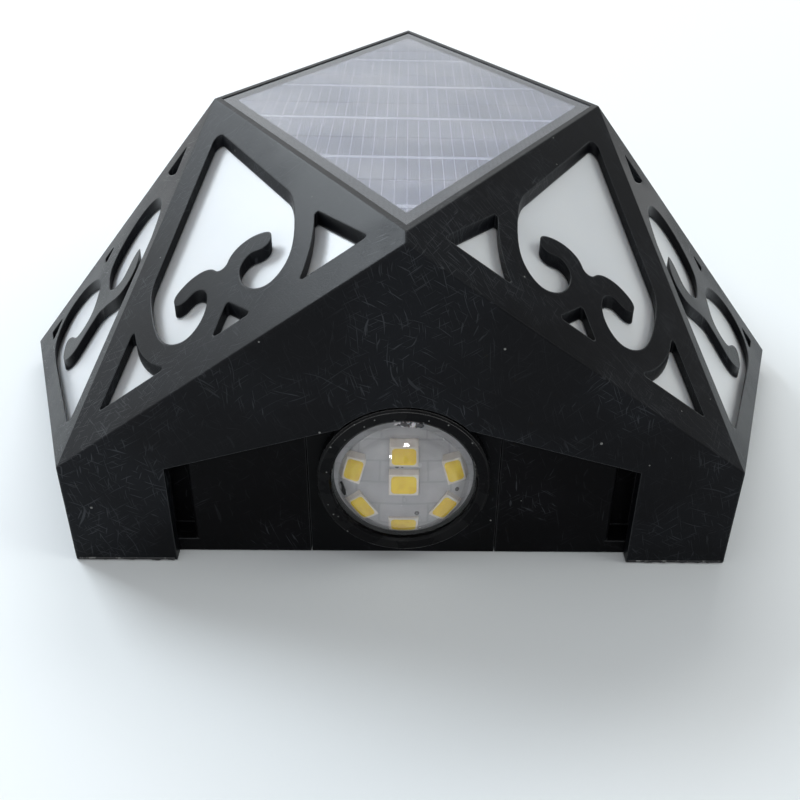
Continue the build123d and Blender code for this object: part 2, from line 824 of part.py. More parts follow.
tab_low = cover_t + cradle_t
tab_high = battery_z + 4.0
with BuildPart() as battery_tabs:
    with BuildSketch(Plane.XY.offset(tab_low)):
        with Locations((plus_end + tab_t / 2, battery_y), (minus_end - tab_t / 2, battery_y)):
            Rectangle(tab_t, tab_w)
    extrude(amount=tab_high - tab_low)
battery_tabs.part.label = "battery_tabs"

with BuildPart() as battery_cradle:
    with BuildSketch(Plane.XY.offset(cover_t)):
        with Locations((0, battery_y)):
            RectangleRounded(2 * cradle_half_l, 2 * cradle_half_w, 3)
        with Locations(*(cradle_holes + strap_holes)):
            Circle(small_screw_r + 0.2, mode=Mode.SUBTRACT)
    extrude(amount=cradle_t)
    with BuildSketch(Plane.XY.offset(cover_t)):
        plus_wall = plus_end + tab_t + cradle_wall / 2
        minus_wall = minus_end - tab_t - cradle_wall / 2
        with Locations((plus_wall, battery_y), (minus_wall, battery_y)):
            Rectangle(cradle_wall, 1.6 * cell_r)
    extrude(amount=cradle_t + cell_r)
    with BuildSketch(Plane.XY.offset(cover_t)):
        with Locations((-0.3 * sleeve_len, battery_y), (0.3 * sleeve_len, battery_y)):
            Rectangle(3, 2 * cell_r + 3)
    extrude(amount=cradle_t + cell_r)
    with BuildSketch(Plane.YZ.offset(minus_end)):
        with Locations((battery_y, battery_z)):
            Circle(cell_r + 0.1)
    extrude(amount=plus_end - minus_end, mode=Mode.SUBTRACT)
battery_cradle.part.label = "battery_cradle"

strap_in = cell_r + 0.1
with BuildPart() as battery_strap:
    with BuildSketch(Plane.YZ.offset(-strap_w / 2)):
        with Locations((battery_y, battery_z)):
            Circle(strap_in + strap_t)
        with Locations((battery_y, (battery_z + cover_t + cradle_t) / 2)):
            Rectangle(2 * (strap_in + strap_t), battery_z - cover_t - cradle_t)
        with Locations((battery_y, cover_t + cradle_t + strap_t / 2)):
            Rectangle(2 * cradle_half_w - 1, strap_t)
        with Locations((battery_y, battery_z)):
            Circle(strap_in, mode=Mode.SUBTRACT)
        with Locations((battery_y, (battery_z + cover_t + cradle_t) / 2)):
            Rectangle(2 * strap_in, battery_z - cover_t - cradle_t, mode=Mode.SUBTRACT)
        with Locations((battery_y, cover_t)):
            Rectangle(3 * cradle_half_w, 2 * cradle_t, mode=Mode.SUBTRACT)
    extrude(amount=strap_w)
    with BuildSketch(Plane.XY):
        with Locations(*strap_holes):
            Circle(small_screw_r + 0.2)
    extrude(amount=battery_z, mode=Mode.SUBTRACT)
battery_strap.part.label = "battery_strap"

# Rubber cord in the back cover's edge groove
with BuildPart() as back_seal:
    add(edge_ring(seal_z, wall + 0.02, edge_fit + groove_deep - 0.07, seal_t))
back_seal.part.label = "back_seal"


def pan_screws(spots, seat_z, facing, head_r, head_t, shank_r, length):
    """Cross-head screws with their heads on seat_z, facing down (-1) or up (1)."""
    with BuildPart() as screws:
        with BuildSketch(Plane.XY.offset(seat_z)):
            with Locations(*spots):
                Circle(head_r)
        extrude(amount=facing * head_t)
        with BuildSketch(Plane.XY.offset(seat_z)):
            with Locations(*spots):
                Circle(shank_r)
        extrude(amount=-facing * length)
        rims = screws.edges().filter_by(GeomType.CIRCLE).sort_by(Axis.Z)
        top_z_rims = rims.group_by(Axis.Z)[0 if facing < 0 else -1]
        fillet(top_z_rims, radius=0.35 * head_t)
        with BuildSketch(Plane.XY.offset(seat_z + facing * head_t)):
            with Locations(*spots):
                Rectangle(1.1 * head_r, 0.25 * head_r)
                Rectangle(0.25 * head_r, 1.1 * head_r)
        extrude(amount=-facing * 0.55 * head_t, mode=Mode.SUBTRACT)
    return screws.part


with BuildPart() as cover_screws:
    seat_low = screw_sunk + screw_head_t
    add(pan_screws(posts_at, seat_low, -1, screw_head_r, screw_head_t, screw_r, screw_len))
cover_screws.part.label = "cover_screws"
with BuildPart() as board_screws:
    add(pan_screws(pcb_holes, pcb_top, 1, small_head_r, small_head_t, small_screw_r, 6))
board_screws.part.label = "board_screws"
with BuildPart() as cradle_screws:
    add(pan_screws(cradle_holes, tab_low, 1, small_head_r, small_head_t, small_screw_r, 3))
cradle_screws.part.label = "cradle_screws"
with BuildPart() as strap_screws:
    add(pan_screws(strap_holes, tab_low + strap_t, 1, small_head_r, small_head_t, small_screw_r, 4))
strap_screws.part.label = "strap_screws"

# Leads, each a round wire along straight runs joined by arcs
wire_r = 0.55
bend = 5.5


def lead(points):
    """Round wire along a bent path."""
    with BuildPart() as wire:
        with BuildLine() as path:
            FilletPolyline(*points, radius=bend)
        with BuildSketch(Plane(origin=path.line @ 0, z_dir=path.line % 0)):
            Circle(wire_r)
        sweep()
    return wire.part


lamp_back = lamp_board_front + lamp_board_t
over_cell = 21.0      # height of the leads that cross the battery
plus_tab = plus_end + tab_t + wire_r
minus_tab = minus_end - tab_t - wire_r
leads = {
    "solar_lead_red": [(4, 10, tape_top), (4, 10, 32), (12, 16, 24), (12, 16, pcb_top)],
    "solar_lead_black": [(-4, 10, tape_top), (-4, 10, 32), (-12, 16, 24), (-12, 16, pcb_top)],
    "battery_lead_red": [
        (plus_tab, battery_y, tab_high - 1.5),
        (plus_tab, battery_y, over_cell + 1),
        (28.5, 0.5, over_cell + 1),
        (28.5, 0.5, pcb_top),
    ],
    "battery_lead_black": [
        (minus_tab, battery_y, tab_high - 1.5),
        (minus_tab, battery_y, over_cell + 1),
        (-28.5, 0.5, over_cell + 1),
        (-28.5, 0.5, pcb_top),
    ],
}
for name, x in (("spot_lead_red", 3), ("spot_lead_black", -3)):
    leads[name] = [
        (x, lamp_back, spot_z + 2),
        (x, lamp_back + 6.5, spot_z + 2),
        (x, battery_y - 8, over_cell),
        (x, battery_y + 20, over_cell),
        (x, -1, pcb_top + 6),
        (x, -1, pcb_top),
    ]

parts = [
    front_shell,
    diffuser,
    panel_tape,
    solar_board,
    solar_cells,
    solar_film,
    back_cover,
    spot_holder,
    lens_bezel,
    dome_lens,
    lens_gasket,
    spot_board,
    spot_led_bodies,
    spot_led_phosphor,
    spot_resistor,
    main_board,
    glow_led_bodies,
    glow_led_phosphor,
    control_chip,
    inductor,
    capacitor,
    board_resistors,
    switch_body,
    switch_plunger,
    power_button,
    battery_cell,
    battery_caps,
    battery_tabs,
    battery_cradle,
    battery_strap,
    back_seal,
    cover_screws,
    board_screws,
    cradle_screws,
    strap_screws,
]
for item in parts:
    export_step(item.part, "parts/" + item.part.label + ".step")

for name, points in leads.items():
    wire_solid = lead(points)
    wire_solid.label = name
    export_step(wire_solid, "parts/" + name + ".step")
    length = sum((Vector(b) - Vector(a)).length for a, b in zip(points, points[1:]))
    print(name, "volume", round(wire_solid.volume), "run", round(length), "bend", bend)
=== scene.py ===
from math import cos, pi, radians, sin

import bmesh
import bpy
from mathutils import Matrix, Vector, noise


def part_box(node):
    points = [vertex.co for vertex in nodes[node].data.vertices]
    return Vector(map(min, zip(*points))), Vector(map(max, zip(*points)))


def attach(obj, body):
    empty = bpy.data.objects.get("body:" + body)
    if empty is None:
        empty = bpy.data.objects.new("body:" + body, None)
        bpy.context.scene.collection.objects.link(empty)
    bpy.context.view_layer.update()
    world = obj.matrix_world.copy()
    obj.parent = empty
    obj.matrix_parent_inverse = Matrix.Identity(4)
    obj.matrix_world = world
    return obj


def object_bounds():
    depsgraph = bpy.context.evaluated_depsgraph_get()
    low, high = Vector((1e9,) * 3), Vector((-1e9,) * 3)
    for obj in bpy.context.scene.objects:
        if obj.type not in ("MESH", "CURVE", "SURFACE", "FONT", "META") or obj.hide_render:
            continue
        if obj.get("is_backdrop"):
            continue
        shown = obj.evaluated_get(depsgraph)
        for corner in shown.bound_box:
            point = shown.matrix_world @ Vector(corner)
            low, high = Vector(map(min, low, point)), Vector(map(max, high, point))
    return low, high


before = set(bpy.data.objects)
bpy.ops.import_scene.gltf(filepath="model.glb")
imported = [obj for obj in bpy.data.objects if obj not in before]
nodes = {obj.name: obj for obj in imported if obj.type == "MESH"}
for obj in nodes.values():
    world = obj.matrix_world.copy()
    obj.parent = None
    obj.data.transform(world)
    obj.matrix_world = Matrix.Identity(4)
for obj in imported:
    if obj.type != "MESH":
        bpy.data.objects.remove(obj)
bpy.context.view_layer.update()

# ---------------------------------------------------------------------------
# Shader helpers
# ---------------------------------------------------------------------------


def add(tree, kind, **settings):
    """New node with its properties set."""
    made = tree.nodes.new(kind)
    for key, value in settings.items():
        setattr(made, key, value)
    return made


def feed(tree, socket, value):
    """Sets an input from a number or links it to a socket."""
    if isinstance(value, (int, float)):
        socket.default_value = value
    else:
        tree.links.new(value, socket)


def maths(tree, operation, a, b=None):
    """Math node fed by sockets or numbers."""
    made = add(tree, "ShaderNodeMath", operation=operation)
    feed(tree, made.inputs[0], a)
    if b is not None:
        feed(tree, made.inputs[1], b)
    return made.outputs[0]


def step(tree, value, low, high, to_low=0.0, to_high=1.0, kind="SMOOTHSTEP"):
    """Rise of a value between two limits."""
    made = add(tree, "ShaderNodeMapRange", interpolation_type=kind)
    tree.links.new(value, made.inputs["Value"])
    limits = {"From Min": low, "From Max": high, "To Min": to_low, "To Max": to_high}
    for name, limit in limits.items():
        feed(tree, made.inputs[name], limit)
    return made.outputs[0]


def mix(tree, share, under, over):
    """One shader laid over another by a share; returns the shader socket."""
    made = add(tree, "ShaderNodeMixShader")
    for socket, value in zip(made.inputs, (share, under, over)):
        tree.links.new(value, socket)
    return made.outputs[0]


def tint(tree, mask, under, over, share=None):
    """Colour laid over another by a share of a mask; returns the colour socket."""
    if share is not None:
        mask = maths(tree, "MULTIPLY", mask, share)
    made = add(tree, "ShaderNodeMix", data_type="RGBA")
    tree.links.new(mask, made.inputs["Factor"])
    for socket, colour in ((made.inputs[6], under), (made.inputs[7], over)):
        if isinstance(colour, tuple):
            socket.default_value = (*colour, 1)
        else:
            tree.links.new(colour, socket)
    return made.outputs[2]


def place_of(tree):
    """Place on the part, in its own coordinates and in metres."""
    return add(tree, "ShaderNodeTexCoord").outputs["Object"]


def along(tree, axis):
    """Place along one axis of the part."""
    split = add(tree, "ShaderNodeSeparateXYZ")
    tree.links.new(place_of(tree), split.inputs[0])
    return split.outputs[axis]


def distance_to(tree, point):
    """Distance from a point of the part."""
    away = add(tree, "ShaderNodeVectorMath", operation="DISTANCE")
    tree.links.new(place_of(tree), away.inputs[0])
    away.inputs[1].default_value = point
    return away.outputs["Value"]


def pattern(tree, kind, scale, **settings):
    """Texture laid out in the part's own coordinates."""
    made = add(tree, kind, **settings)
    made.inputs["Scale"].default_value = scale
    tree.links.new(place_of(tree), made.inputs["Vector"])
    return made


def lot_of(tree, cells, channel):
    """One channel of the random colour that each cell of a pattern has."""
    split = add(tree, "ShaderNodeSeparateColor")
    tree.links.new(cells.outputs["Color"], split.inputs[0])
    return split.outputs[channel]


# ---------------------------------------------------------------------------
# Table, soft lights and camera
# A pale table top under the light, a big window-like softbox at the left, one behind, a weaker
# one at the right, two small lamps that glint in the dome, and a camera close to the lens end,
# as in the photograph.
# ---------------------------------------------------------------------------
scene = bpy.context.scene
scene.view_settings.view_transform = "Standard"

camera_place = Vector((0.0, -0.1679, 0.0973))
camera_fall = radians(33.10)
camera_turn = radians(1.93)
camera_roll = radians(1.63)
film_width = 36.0
focal_px = 974.0
frame_px = 800.0
centre_px = (432.0, 415.0)

look = Vector((
    sin(camera_turn) * cos(camera_fall),
    cos(camera_turn) * cos(camera_fall),
    -sin(camera_fall),
))
level_right = look.cross(Vector((0, 0, 1))).normalized()
level_up = level_right.cross(look)
right = level_right * cos(camera_roll) + level_up * sin(camera_roll)
up = right.cross(look)
lens = bpy.data.cameras.new("camera")
lens.sensor_width = film_width
lens.lens = film_width * focal_px / frame_px
lens.shift_x = -(centre_px[0] - frame_px / 2) / frame_px
lens.shift_y = (centre_px[1] - frame_px / 2) / frame_px
lens.clip_start = 0.005
camera = bpy.data.objects.new("camera", lens)
camera.matrix_world = Matrix((
    (right.x, up.x, -look.x, camera_place.x),
    (right.y, up.y, -look.y, camera_place.y),
    (right.z, up.z, -look.z, camera_place.z),
    (0, 0, 0, 1),
))
scene.collection.objects.link(camera)
scene.camera = camera

lights_aim = Vector((0, 0, 0.02))


def softbox(name, place, size, power, colour):
    """Rectangular light turned towards the part."""
    lamp = bpy.data.lights.new(name, "AREA")
    lamp.shape = "RECTANGLE"
    lamp.size = size[0]
    lamp.size_y = size[1]
    lamp.energy = power
    lamp.color = colour
    box = bpy.data.objects.new(name, lamp)
    box.location = place
    box.rotation_euler = (lights_aim - Vector(place)).to_track_quat("-Z", "Y").to_euler()
    scene.collection.objects.link(box)


softbox("window_left", (-0.78, 0.67, 0.80), (0.58, 0.46), 12.0, (0.85, 0.935, 1.0))
softbox("window_back", (0.05, 0.92, 0.86), (0.9, 0.4), 5.2, (0.97, 1.0, 1.0))
softbox("fill_right", (0.80, -0.20, 0.70), (0.5, 0.5), 2.0, (0.96, 1.0, 0.95))
softbox("lamp_high", (0.05, -0.675, 0.531), (0.085, 0.05), 0.9, (1.0, 1.0, 1.0))
softbox("lamp_low", (-0.251, -0.759, 0.322), (0.05, 0.035), 0.35, (1.0, 1.0, 1.0))

# The room is white for the camera. Seen in gloss and glass it is white too, and greyer on the
# side away from the window.
world = bpy.data.worlds.new("room_light")
scene.world = world
world.use_nodes = True
room = world.node_tree
room.nodes.clear()


def backdrop(colour, strength):
    """Even background of the room."""
    made = add(room, "ShaderNodeBackground")
    made.inputs["Color"].default_value = (*colour, 1)
    feed(room, made.inputs["Strength"], strength)
    return made.outputs[0]


room_side = add(room, "ShaderNodeTexCoord")
room_across = add(room, "ShaderNodeSeparateXYZ")
room.links.new(room_side.outputs["Generated"], room_across.inputs[0])
room_shade = step(room, room_across.outputs["X"], -0.2, 0.6, 1.0, 0.35, "LINEAR")
ray = add(room, "ShaderNodeLightPath").outputs
in_gloss = maths(room, "MAXIMUM", ray["Is Glossy Ray"], ray["Is Transmission Ray"])
lit = mix(room, in_gloss, backdrop((0.9, 0.95, 1.0), 0.40), backdrop((0.95, 0.98, 1), room_shade))
room_out = add(room, "ShaderNodeOutputWorld")
shown = mix(room, ray["Is Camera Ray"], lit, backdrop((1, 1, 1), 1.0))
room.links.new(shown, room_out.inputs["Surface"])

# The table top is a pale painted board. Far from the light it runs out into plain white for the
# camera and for reflections, and it keeps the contact shadow near it.
table_mesh = bpy.data.meshes.new("table_top")
edge = 6.0
table_mesh.from_pydata(
    [(-edge, -edge, 0), (edge, -edge, 0), (edge, edge, 0), (-edge, edge, 0)], [], [(0, 1, 2, 3)]
)
table = bpy.data.objects.new("table_top", table_mesh)
table.location.z = -0.0002
scene.collection.objects.link(table)
table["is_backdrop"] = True
table_paint = bpy.data.materials.new("table_paint")
table_paint.use_nodes = True
tree = table_paint.node_tree
tree.nodes.clear()
board = add(tree, "ShaderNodeBsdfPrincipled")
board.inputs["Base Color"].default_value = (0.84, 0.855, 0.86, 1)
board.inputs["Roughness"].default_value = 0.55
board.inputs["Specular IOR Level"].default_value = 0.3
white = add(tree, "ShaderNodeEmission")
white.inputs["Color"].default_value = (1, 1, 1, 1)
reach = add(tree, "ShaderNodeVectorMath", operation="LENGTH")
tree.links.new(place_of(tree), reach.inputs[0])
fade = step(tree, reach.outputs["Value"], 0.16, 0.55, kind="LINEAR")
ray = add(tree, "ShaderNodeLightPath").outputs
seen = maths(tree, "MAXIMUM", ray["Is Camera Ray"], ray["Is Glossy Ray"])
seen = maths(tree, "MAXIMUM", seen, ray["Is Transmission Ray"])
table_out = add(tree, "ShaderNodeOutputMaterial")
shown = mix(tree, maths(tree, "MULTIPLY", seen, fade), board.outputs[0], white.outputs[0])
tree.links.new(shown, table_out.inputs["Surface"])
table_mesh.materials.append(table_paint)

# ---------------------------------------------------------------------------
# Surface effects
# Groups that the materials below share.
# ---------------------------------------------------------------------------


def effect(name, inputs, outputs):
    """Node group with named sockets, and its two end nodes."""
    group = bpy.data.node_groups.new(name, "ShaderNodeTree")
    for socket, kind, value in inputs:
        made = group.interface.new_socket(
            name=socket, in_out="INPUT", socket_type="NodeSocket" + kind
        )
        made.default_value = value
    for socket, kind in outputs:
        group.interface.new_socket(name=socket, in_out="OUTPUT", socket_type="NodeSocket" + kind)
    return group, group.nodes.new("NodeGroupInput"), group.nodes.new("NodeGroupOutput")


# Hairlines: thin sheets of marks that stand in the plastic and show as fine lines where its
# faces cut them. A coarse noise bends them.
hairlines, ask, give = effect(
    "hairlines",
    [
        ("Turn", "Vector", (0, 0, 0)),
        ("Fineness", "Float", 1.0),
        ("Cover", "Float", 0.5),
        ("Seed", "Float", 0.0),
    ],
    [("Mask", "Float")],
)
sheet_scale = (260, 9000, 260)
turned = add(hairlines, "ShaderNodeMapping", vector_type="POINT")
hairlines.links.new(place_of(hairlines), turned.inputs["Vector"])
hairlines.links.new(ask.outputs["Turn"], turned.inputs["Rotation"])
wander = add(hairlines, "ShaderNodeTexNoise")
wander.inputs["Scale"].default_value = 70
wander.inputs["Detail"].default_value = 1
hairlines.links.new(turned.outputs[0], wander.inputs["Vector"])
bent = add(hairlines, "ShaderNodeMixRGB", blend_type="ADD")
bent.inputs["Fac"].default_value = 0.0045
hairlines.links.new(turned.outputs[0], bent.inputs["Color1"])
hairlines.links.new(wander.outputs["Color"], bent.inputs["Color2"])
drawn = add(hairlines, "ShaderNodeMapping", vector_type="POINT")
drawn.inputs["Scale"].default_value = sheet_scale
hairlines.links.new(bent.outputs[0], drawn.inputs["Vector"])
scaled = add(hairlines, "ShaderNodeVectorMath", operation="SCALE")
hairlines.links.new(drawn.outputs[0], scaled.inputs[0])
hairlines.links.new(ask.outputs["Fineness"], scaled.inputs["Scale"])
marks = add(hairlines, "ShaderNodeTexNoise", noise_dimensions="4D")
marks.inputs["Scale"].default_value = 1.0
marks.inputs["Detail"].default_value = 1.5
hairlines.links.new(scaled.outputs[0], marks.inputs["Vector"])
hairlines.links.new(ask.outputs["Seed"], marks.inputs["W"])
low = ask.outputs["Cover"]
mask = step(hairlines, marks.outputs["Fac"], low, maths(hairlines, "ADD", low, 0.05))
hairlines.links.new(mask, give.inputs["Mask"])

# Dust: small pale specks, a few of them larger.
dust, ask, give = effect(
    "dust",
    [("Specks", "Float", 900.0), ("Size", "Float", 0.1), ("Rarity", "Float", 0.6)],
    [("Mask", "Float")],
)
cells = add(dust, "ShaderNodeTexVoronoi", feature="F1")
dust.links.new(place_of(dust), cells.inputs["Vector"])
dust.links.new(ask.outputs["Specks"], cells.inputs["Scale"])
chosen = maths(dust, "GREATER_THAN", lot_of(dust, cells, 0), ask.outputs["Rarity"])
width = maths(dust, "MULTIPLY", lot_of(dust, cells, 1), ask.outputs["Size"])
speck = maths(dust, "LESS_THAN", cells.outputs["Distance"], width)
dust.links.new(maths(dust, "MULTIPLY", chosen, speck), give.inputs["Mask"])

# Edge wear and highlight: rounds the shading at an edge and gives a mask along it, which the
# materials use for worn edges and for painted edge highlights.
edge_wear_and_highlight, ask, give = effect(
    "edge_wear_and_highlight",
    [("Radius", "Float", 0.0003), ("Sharpness", "Float", 4.0)],
    [("Normal", "Vector"), ("Mask", "Float")],
)
rounded = add(edge_wear_and_highlight, "ShaderNodeBevel", samples=6)
edge_wear_and_highlight.links.new(ask.outputs["Radius"], rounded.inputs["Radius"])
flat = add(edge_wear_and_highlight, "ShaderNodeNewGeometry")
agree = add(edge_wear_and_highlight, "ShaderNodeVectorMath", operation="DOT_PRODUCT")
edge_wear_and_highlight.links.new(rounded.outputs[0], agree.inputs[0])
edge_wear_and_highlight.links.new(flat.outputs["Normal"], agree.inputs[1])
off = maths(edge_wear_and_highlight, "SUBTRACT", 1.0, agree.outputs["Value"])
mask = maths(edge_wear_and_highlight, "MULTIPLY", off, ask.outputs["Sharpness"])
edge_wear_and_highlight.links.new(mask, give.inputs["Mask"])
edge_wear_and_highlight.links.new(rounded.outputs[0], give.inputs["Normal"])

# Grain and flow: fine texture of a mould or a casting, and slow tone changes.
surface_grain, ask, give = effect(
    "surface_grain",
    [("Grain", "Float", 4000.0), ("Flow", "Float", 60.0)],
    [("Height", "Float"), ("Tone", "Float")],
)
for scale, result in (("Grain", "Height"), ("Flow", "Tone")):
    cloud = add(surface_grain, "ShaderNodeTexNoise")
    cloud.inputs["Detail"].default_value = 3
    surface_grain.links.new(place_of(surface_grain), cloud.inputs["Vector"])
    surface_grain.links.new(ask.outputs[scale], cloud.inputs["Scale"])
    surface_grain.links.new(cloud.outputs["Fac"], give.inputs[result])


def use(tree, group, **values):
    """Group node with its inputs set by name."""
    made = add(tree, "ShaderNodeGroup", node_tree=group)
    for key, value in values.items():
        made.inputs[key].default_value = value
    return made


def start(name, **plain):
    """New material, its tree and its Principled shader with the even values set on it."""
    made = bpy.data.materials.new(name)
    made.use_nodes = True
    shader = made.node_tree.nodes["Principled BSDF"]
    for key, value in plain.items():
        shader.inputs[key.replace("_", " ")].default_value = value
    return made, made.node_tree, shader


def coat(tree, shader, colour):
    """Colour of the shader."""
    tree.links.new(colour, shader.inputs["Base Color"])


def follow(tree, shader, socket, mask, rise, base=0.0):
    """Value of the shader that rises with a mask from a base, a number or a socket."""
    value = maths(tree, "ADD", maths(tree, "MULTIPLY", mask, rise), base)
    tree.links.new(value, shader.inputs[socket])


def raise_surface(tree, shader, height, strength, distance, normal=None):
    """Bump on the shader's normal."""
    bump = add(tree, "ShaderNodeBump")
    bump.inputs["Strength"].default_value = strength
    bump.inputs["Distance"].default_value = distance
    tree.links.new(height, bump.inputs["Height"])
    if normal is not None:
        tree.links.new(normal, bump.inputs["Normal"])
    tree.links.new(bump.outputs[0], shader.inputs["Normal"])


def dress(material, *names):
    """Puts one material on CAD nodes."""
    for name in names:
        mesh = nodes[name].data
        mesh.materials.clear()
        mesh.materials.append(material)


def skin_rings(shape, rings):
    """Joins rings of points into one closed tube."""
    last = None
    for points in rings:
        ring = [shape.verts.new(point) for point in points]
        if last:
            for i in range(len(ring)):
                j = (i + 1) % len(ring)
                shape.faces.new((last[i], last[j], ring[j], ring[i]))
        else:
            shape.faces.new(ring)
        last = ring
    shape.faces.new(last[::-1])


def piece_from(name, shape, smooth):
    """New object in the scene, its faces turned outwards."""
    bmesh.ops.recalc_face_normals(shape, faces=shape.faces)
    for face in shape.faces:
        face.smooth = smooth
    mesh = bpy.data.meshes.new(name)
    shape.to_mesh(mesh)
    shape.free()
    made = bpy.data.objects.new(name, mesh)
    scene.collection.objects.link(made)
    return made


# ---------------------------------------------------------------------------
# Front shell
# One injection moulding in black weather-proof plastic: faceted, with scroll openings cut
# straight through. Handling has left fine hairlines and pale dust. Its edges are lightened, partly
# as handling wear and partly as painted highlight.
# ---------------------------------------------------------------------------
hair_pale = (0.12, 0.127, 0.14)
# edge colour: partly handling wear, partly painted highlight
edge_wear_and_highlight_colour = (0.13, 0.135, 0.14)
dust_pale = (0.4, 0.4, 0.38)
hair_turns = (  # each set of hairlines: its turn and its seed
    ((0, 0, 0.3), 1.0),
    ((0.6, 0.5, 1.3), 2.7),
    ((0.2, 0.9, -0.5), 4.1),
    ((1.2, -0.7, 0.8), 6.3),
)


def black_plastic(name, dark, light, roughness, gloss, hair_cover, dust_rarity, radius=0.0003):
    """Black moulded plastic with hairlines, dust, and edges lightened partly by wear, partly as
    painted highlight.
    """
    made, tree, shader = start(name, Specular_IOR_Level=gloss)
    grain = use(tree, surface_grain)
    patch = step(tree, grain.outputs["Tone"], 0.38, 0.62)
    hair = None
    for turn, seed in hair_turns:
        lines = use(tree, hairlines, Turn=turn, Cover=hair_cover, Seed=seed).outputs["Mask"]
        hair = lines if hair is None else maths(tree, "MAXIMUM", hair, lines)
    strong = maths(tree, "ADD", maths(tree, "MULTIPLY", patch, 0.85), 0.15)
    hair = maths(tree, "MULTIPLY", hair, strong)
    specks = use(tree, dust, Specks=700.0, Size=0.16, Rarity=dust_rarity).outputs["Mask"]
    edges = use(tree, edge_wear_and_highlight, Radius=radius)
    tone = tint(tree, patch, dark, light)
    tone = tint(tree, hair, tone, hair_pale, 0.24)
    # Painted highlight and wear: the edge mask lightens the colour along the edges.
    tone = tint(tree, edges.outputs["Mask"], tone, edge_wear_and_highlight_colour, 0.3)
    coat(tree, shader, tint(tree, specks, tone, dust_pale, 0.45))
    rough = maths(tree, "ADD", maths(tree, "MULTIPLY", patch, 0.06), roughness)
    rough = maths(tree, "ADD", rough, maths(tree, "MULTIPLY", hair, -0.12))
    rough = maths(tree, "ADD", rough, maths(tree, "MULTIPLY", specks, 0.3))
    tree.links.new(rough, shader.inputs["Roughness"])
    cut = maths(tree, "MULTIPLY", hair, 0.8)
    height = maths(tree, "SUBTRACT", grain.outputs["Height"], cut)
    raise_surface(tree, shader, height, 0.35, 0.00004, edges.outputs["Normal"])
    return made


shell_black = black_plastic(
    "shell_black", (0.0028, 0.0030, 0.0040), (0.0052, 0.0060, 0.0078), 0.35, 0.10, 0.645, 0.94
)
dress(shell_black, "front_shell")

# A ragged skin of moulding flash is left along the foot of the shell's lens end, under both legs.
leg_inner = 0.0336
leg_outer = 0.0476
flash_steps = 60
flash_back = 0.00012     # depth of the flash behind the shell's face
flash_top = 0.00050
flash_brow = 0.00034     # height where it starts to hang
flash_drop = 0.00022     # how far it hangs, and how much that varies
flash_vary = 0.00016
shell_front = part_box("front_shell")[0][1]
flash = bmesh.new()
for side in (-1, 1):
    rings = []
    for count in range(flash_steps + 1):
        x = side * (leg_inner + (leg_outer - leg_inner) * count / flash_steps)
        coarse = noise.noise(Vector((x * 900, side * 3.1, 0.4)))
        ragged = coarse + 0.5 * noise.noise(Vector((x * 2600, 1.7, side)))
        drop = flash_drop + flash_vary * ragged
        rings.append((
            (x, shell_front + flash_back, flash_top),
            (x, shell_front - 0.00009 - 0.00005 * ragged, flash_brow),
            (x, shell_front - 0.00013 - 0.00006 * ragged, flash_brow - drop),
            (x, shell_front + flash_back, 0.00030 - drop),
        ))
    skin_rings(flash, rings)
flash_piece = piece_from("moulding_flash", flash, False)
flash_black, tree, shader = start("flash_black", Specular_IOR_Level=0.4)
grain = use(tree, surface_grain, Grain=5200.0, Flow=900.0)
torn = step(tree, grain.outputs["Tone"], 0.52, 0.66)
coat(tree, shader, tint(tree, torn, (0.012, 0.012, 0.013), (0.16, 0.16, 0.155)))
follow(tree, shader, "Roughness", torn, 0.2, 0.25)
raise_surface(tree, shader, grain.outputs["Height"], 0.5, 0.00003)
flash_piece.data.materials.append(flash_black)
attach(flash_piece, "housing")

# ---------------------------------------------------------------------------
# Diffuser
# A thin opal moulding under the facets: milky white, slightly blue, softly translucent, with
# faint flow marks from its mould.
# ---------------------------------------------------------------------------
opal, tree, shader = start("opal_plastic", Subsurface_Weight=0.35, Subsurface_Scale=0.0015)
shader.inputs["Subsurface Radius"].default_value = (0.9, 1.0, 1.1)
grain = use(tree, surface_grain, Grain=2600.0, Flow=22.0)
cloud = step(tree, grain.outputs["Tone"], 0.3, 0.7)
specks = use(tree, dust, Specks=500.0, Size=0.10, Rarity=0.985)
milk = tint(tree, cloud, (0.69, 0.705, 0.725), (0.765, 0.775, 0.785))
milk = tint(tree, specks.outputs["Mask"], milk, (0.3, 0.29, 0.27), 0.5)
coat(tree, shader, milk)
follow(tree, shader, "Roughness", cloud, 0.08, 0.34)
raise_surface(tree, shader, grain.outputs["Height"], 0.2, 0.00003)
dress(opal, "diffuser")

# ---------------------------------------------------------------------------
# Solar panel
# A rhombic board of glass-epoxy with a pale mask, on foam tape, carries strips of dark blue
# silicon under a satin weather film. Silver fingers and busbars run over each strip.
# ---------------------------------------------------------------------------
foam, tree, shader = start("foam_tape", Specular_IOR_Level=0.2)
pores = pattern(tree, "ShaderNodeTexVoronoi", 5200, feature="DISTANCE_TO_EDGE")
wall = step(tree, pores.outputs["Distance"], 0.03, 0.16)
coat(tree, shader, tint(tree, wall, (0.05, 0.05, 0.052), (0.018, 0.018, 0.019)))
follow(tree, shader, "Roughness", wall, 0.1, 0.82)
raise_surface(tree, shader, wall, 0.8, 0.00008)
dress(foam, "panel_tape")


def stripes(tree, axis, pitch, fraction, shift=0.0):
    """Mask of straight bands across one axis of the part."""
    clear_of_zero = 100 * pitch
    moved = maths(tree, "ADD", along(tree, axis), shift + clear_of_zero)
    turns = maths(tree, "MULTIPLY", moved, 1 / pitch)
    return maths(tree, "LESS_THAN", maths(tree, "FRACT", turns), fraction)


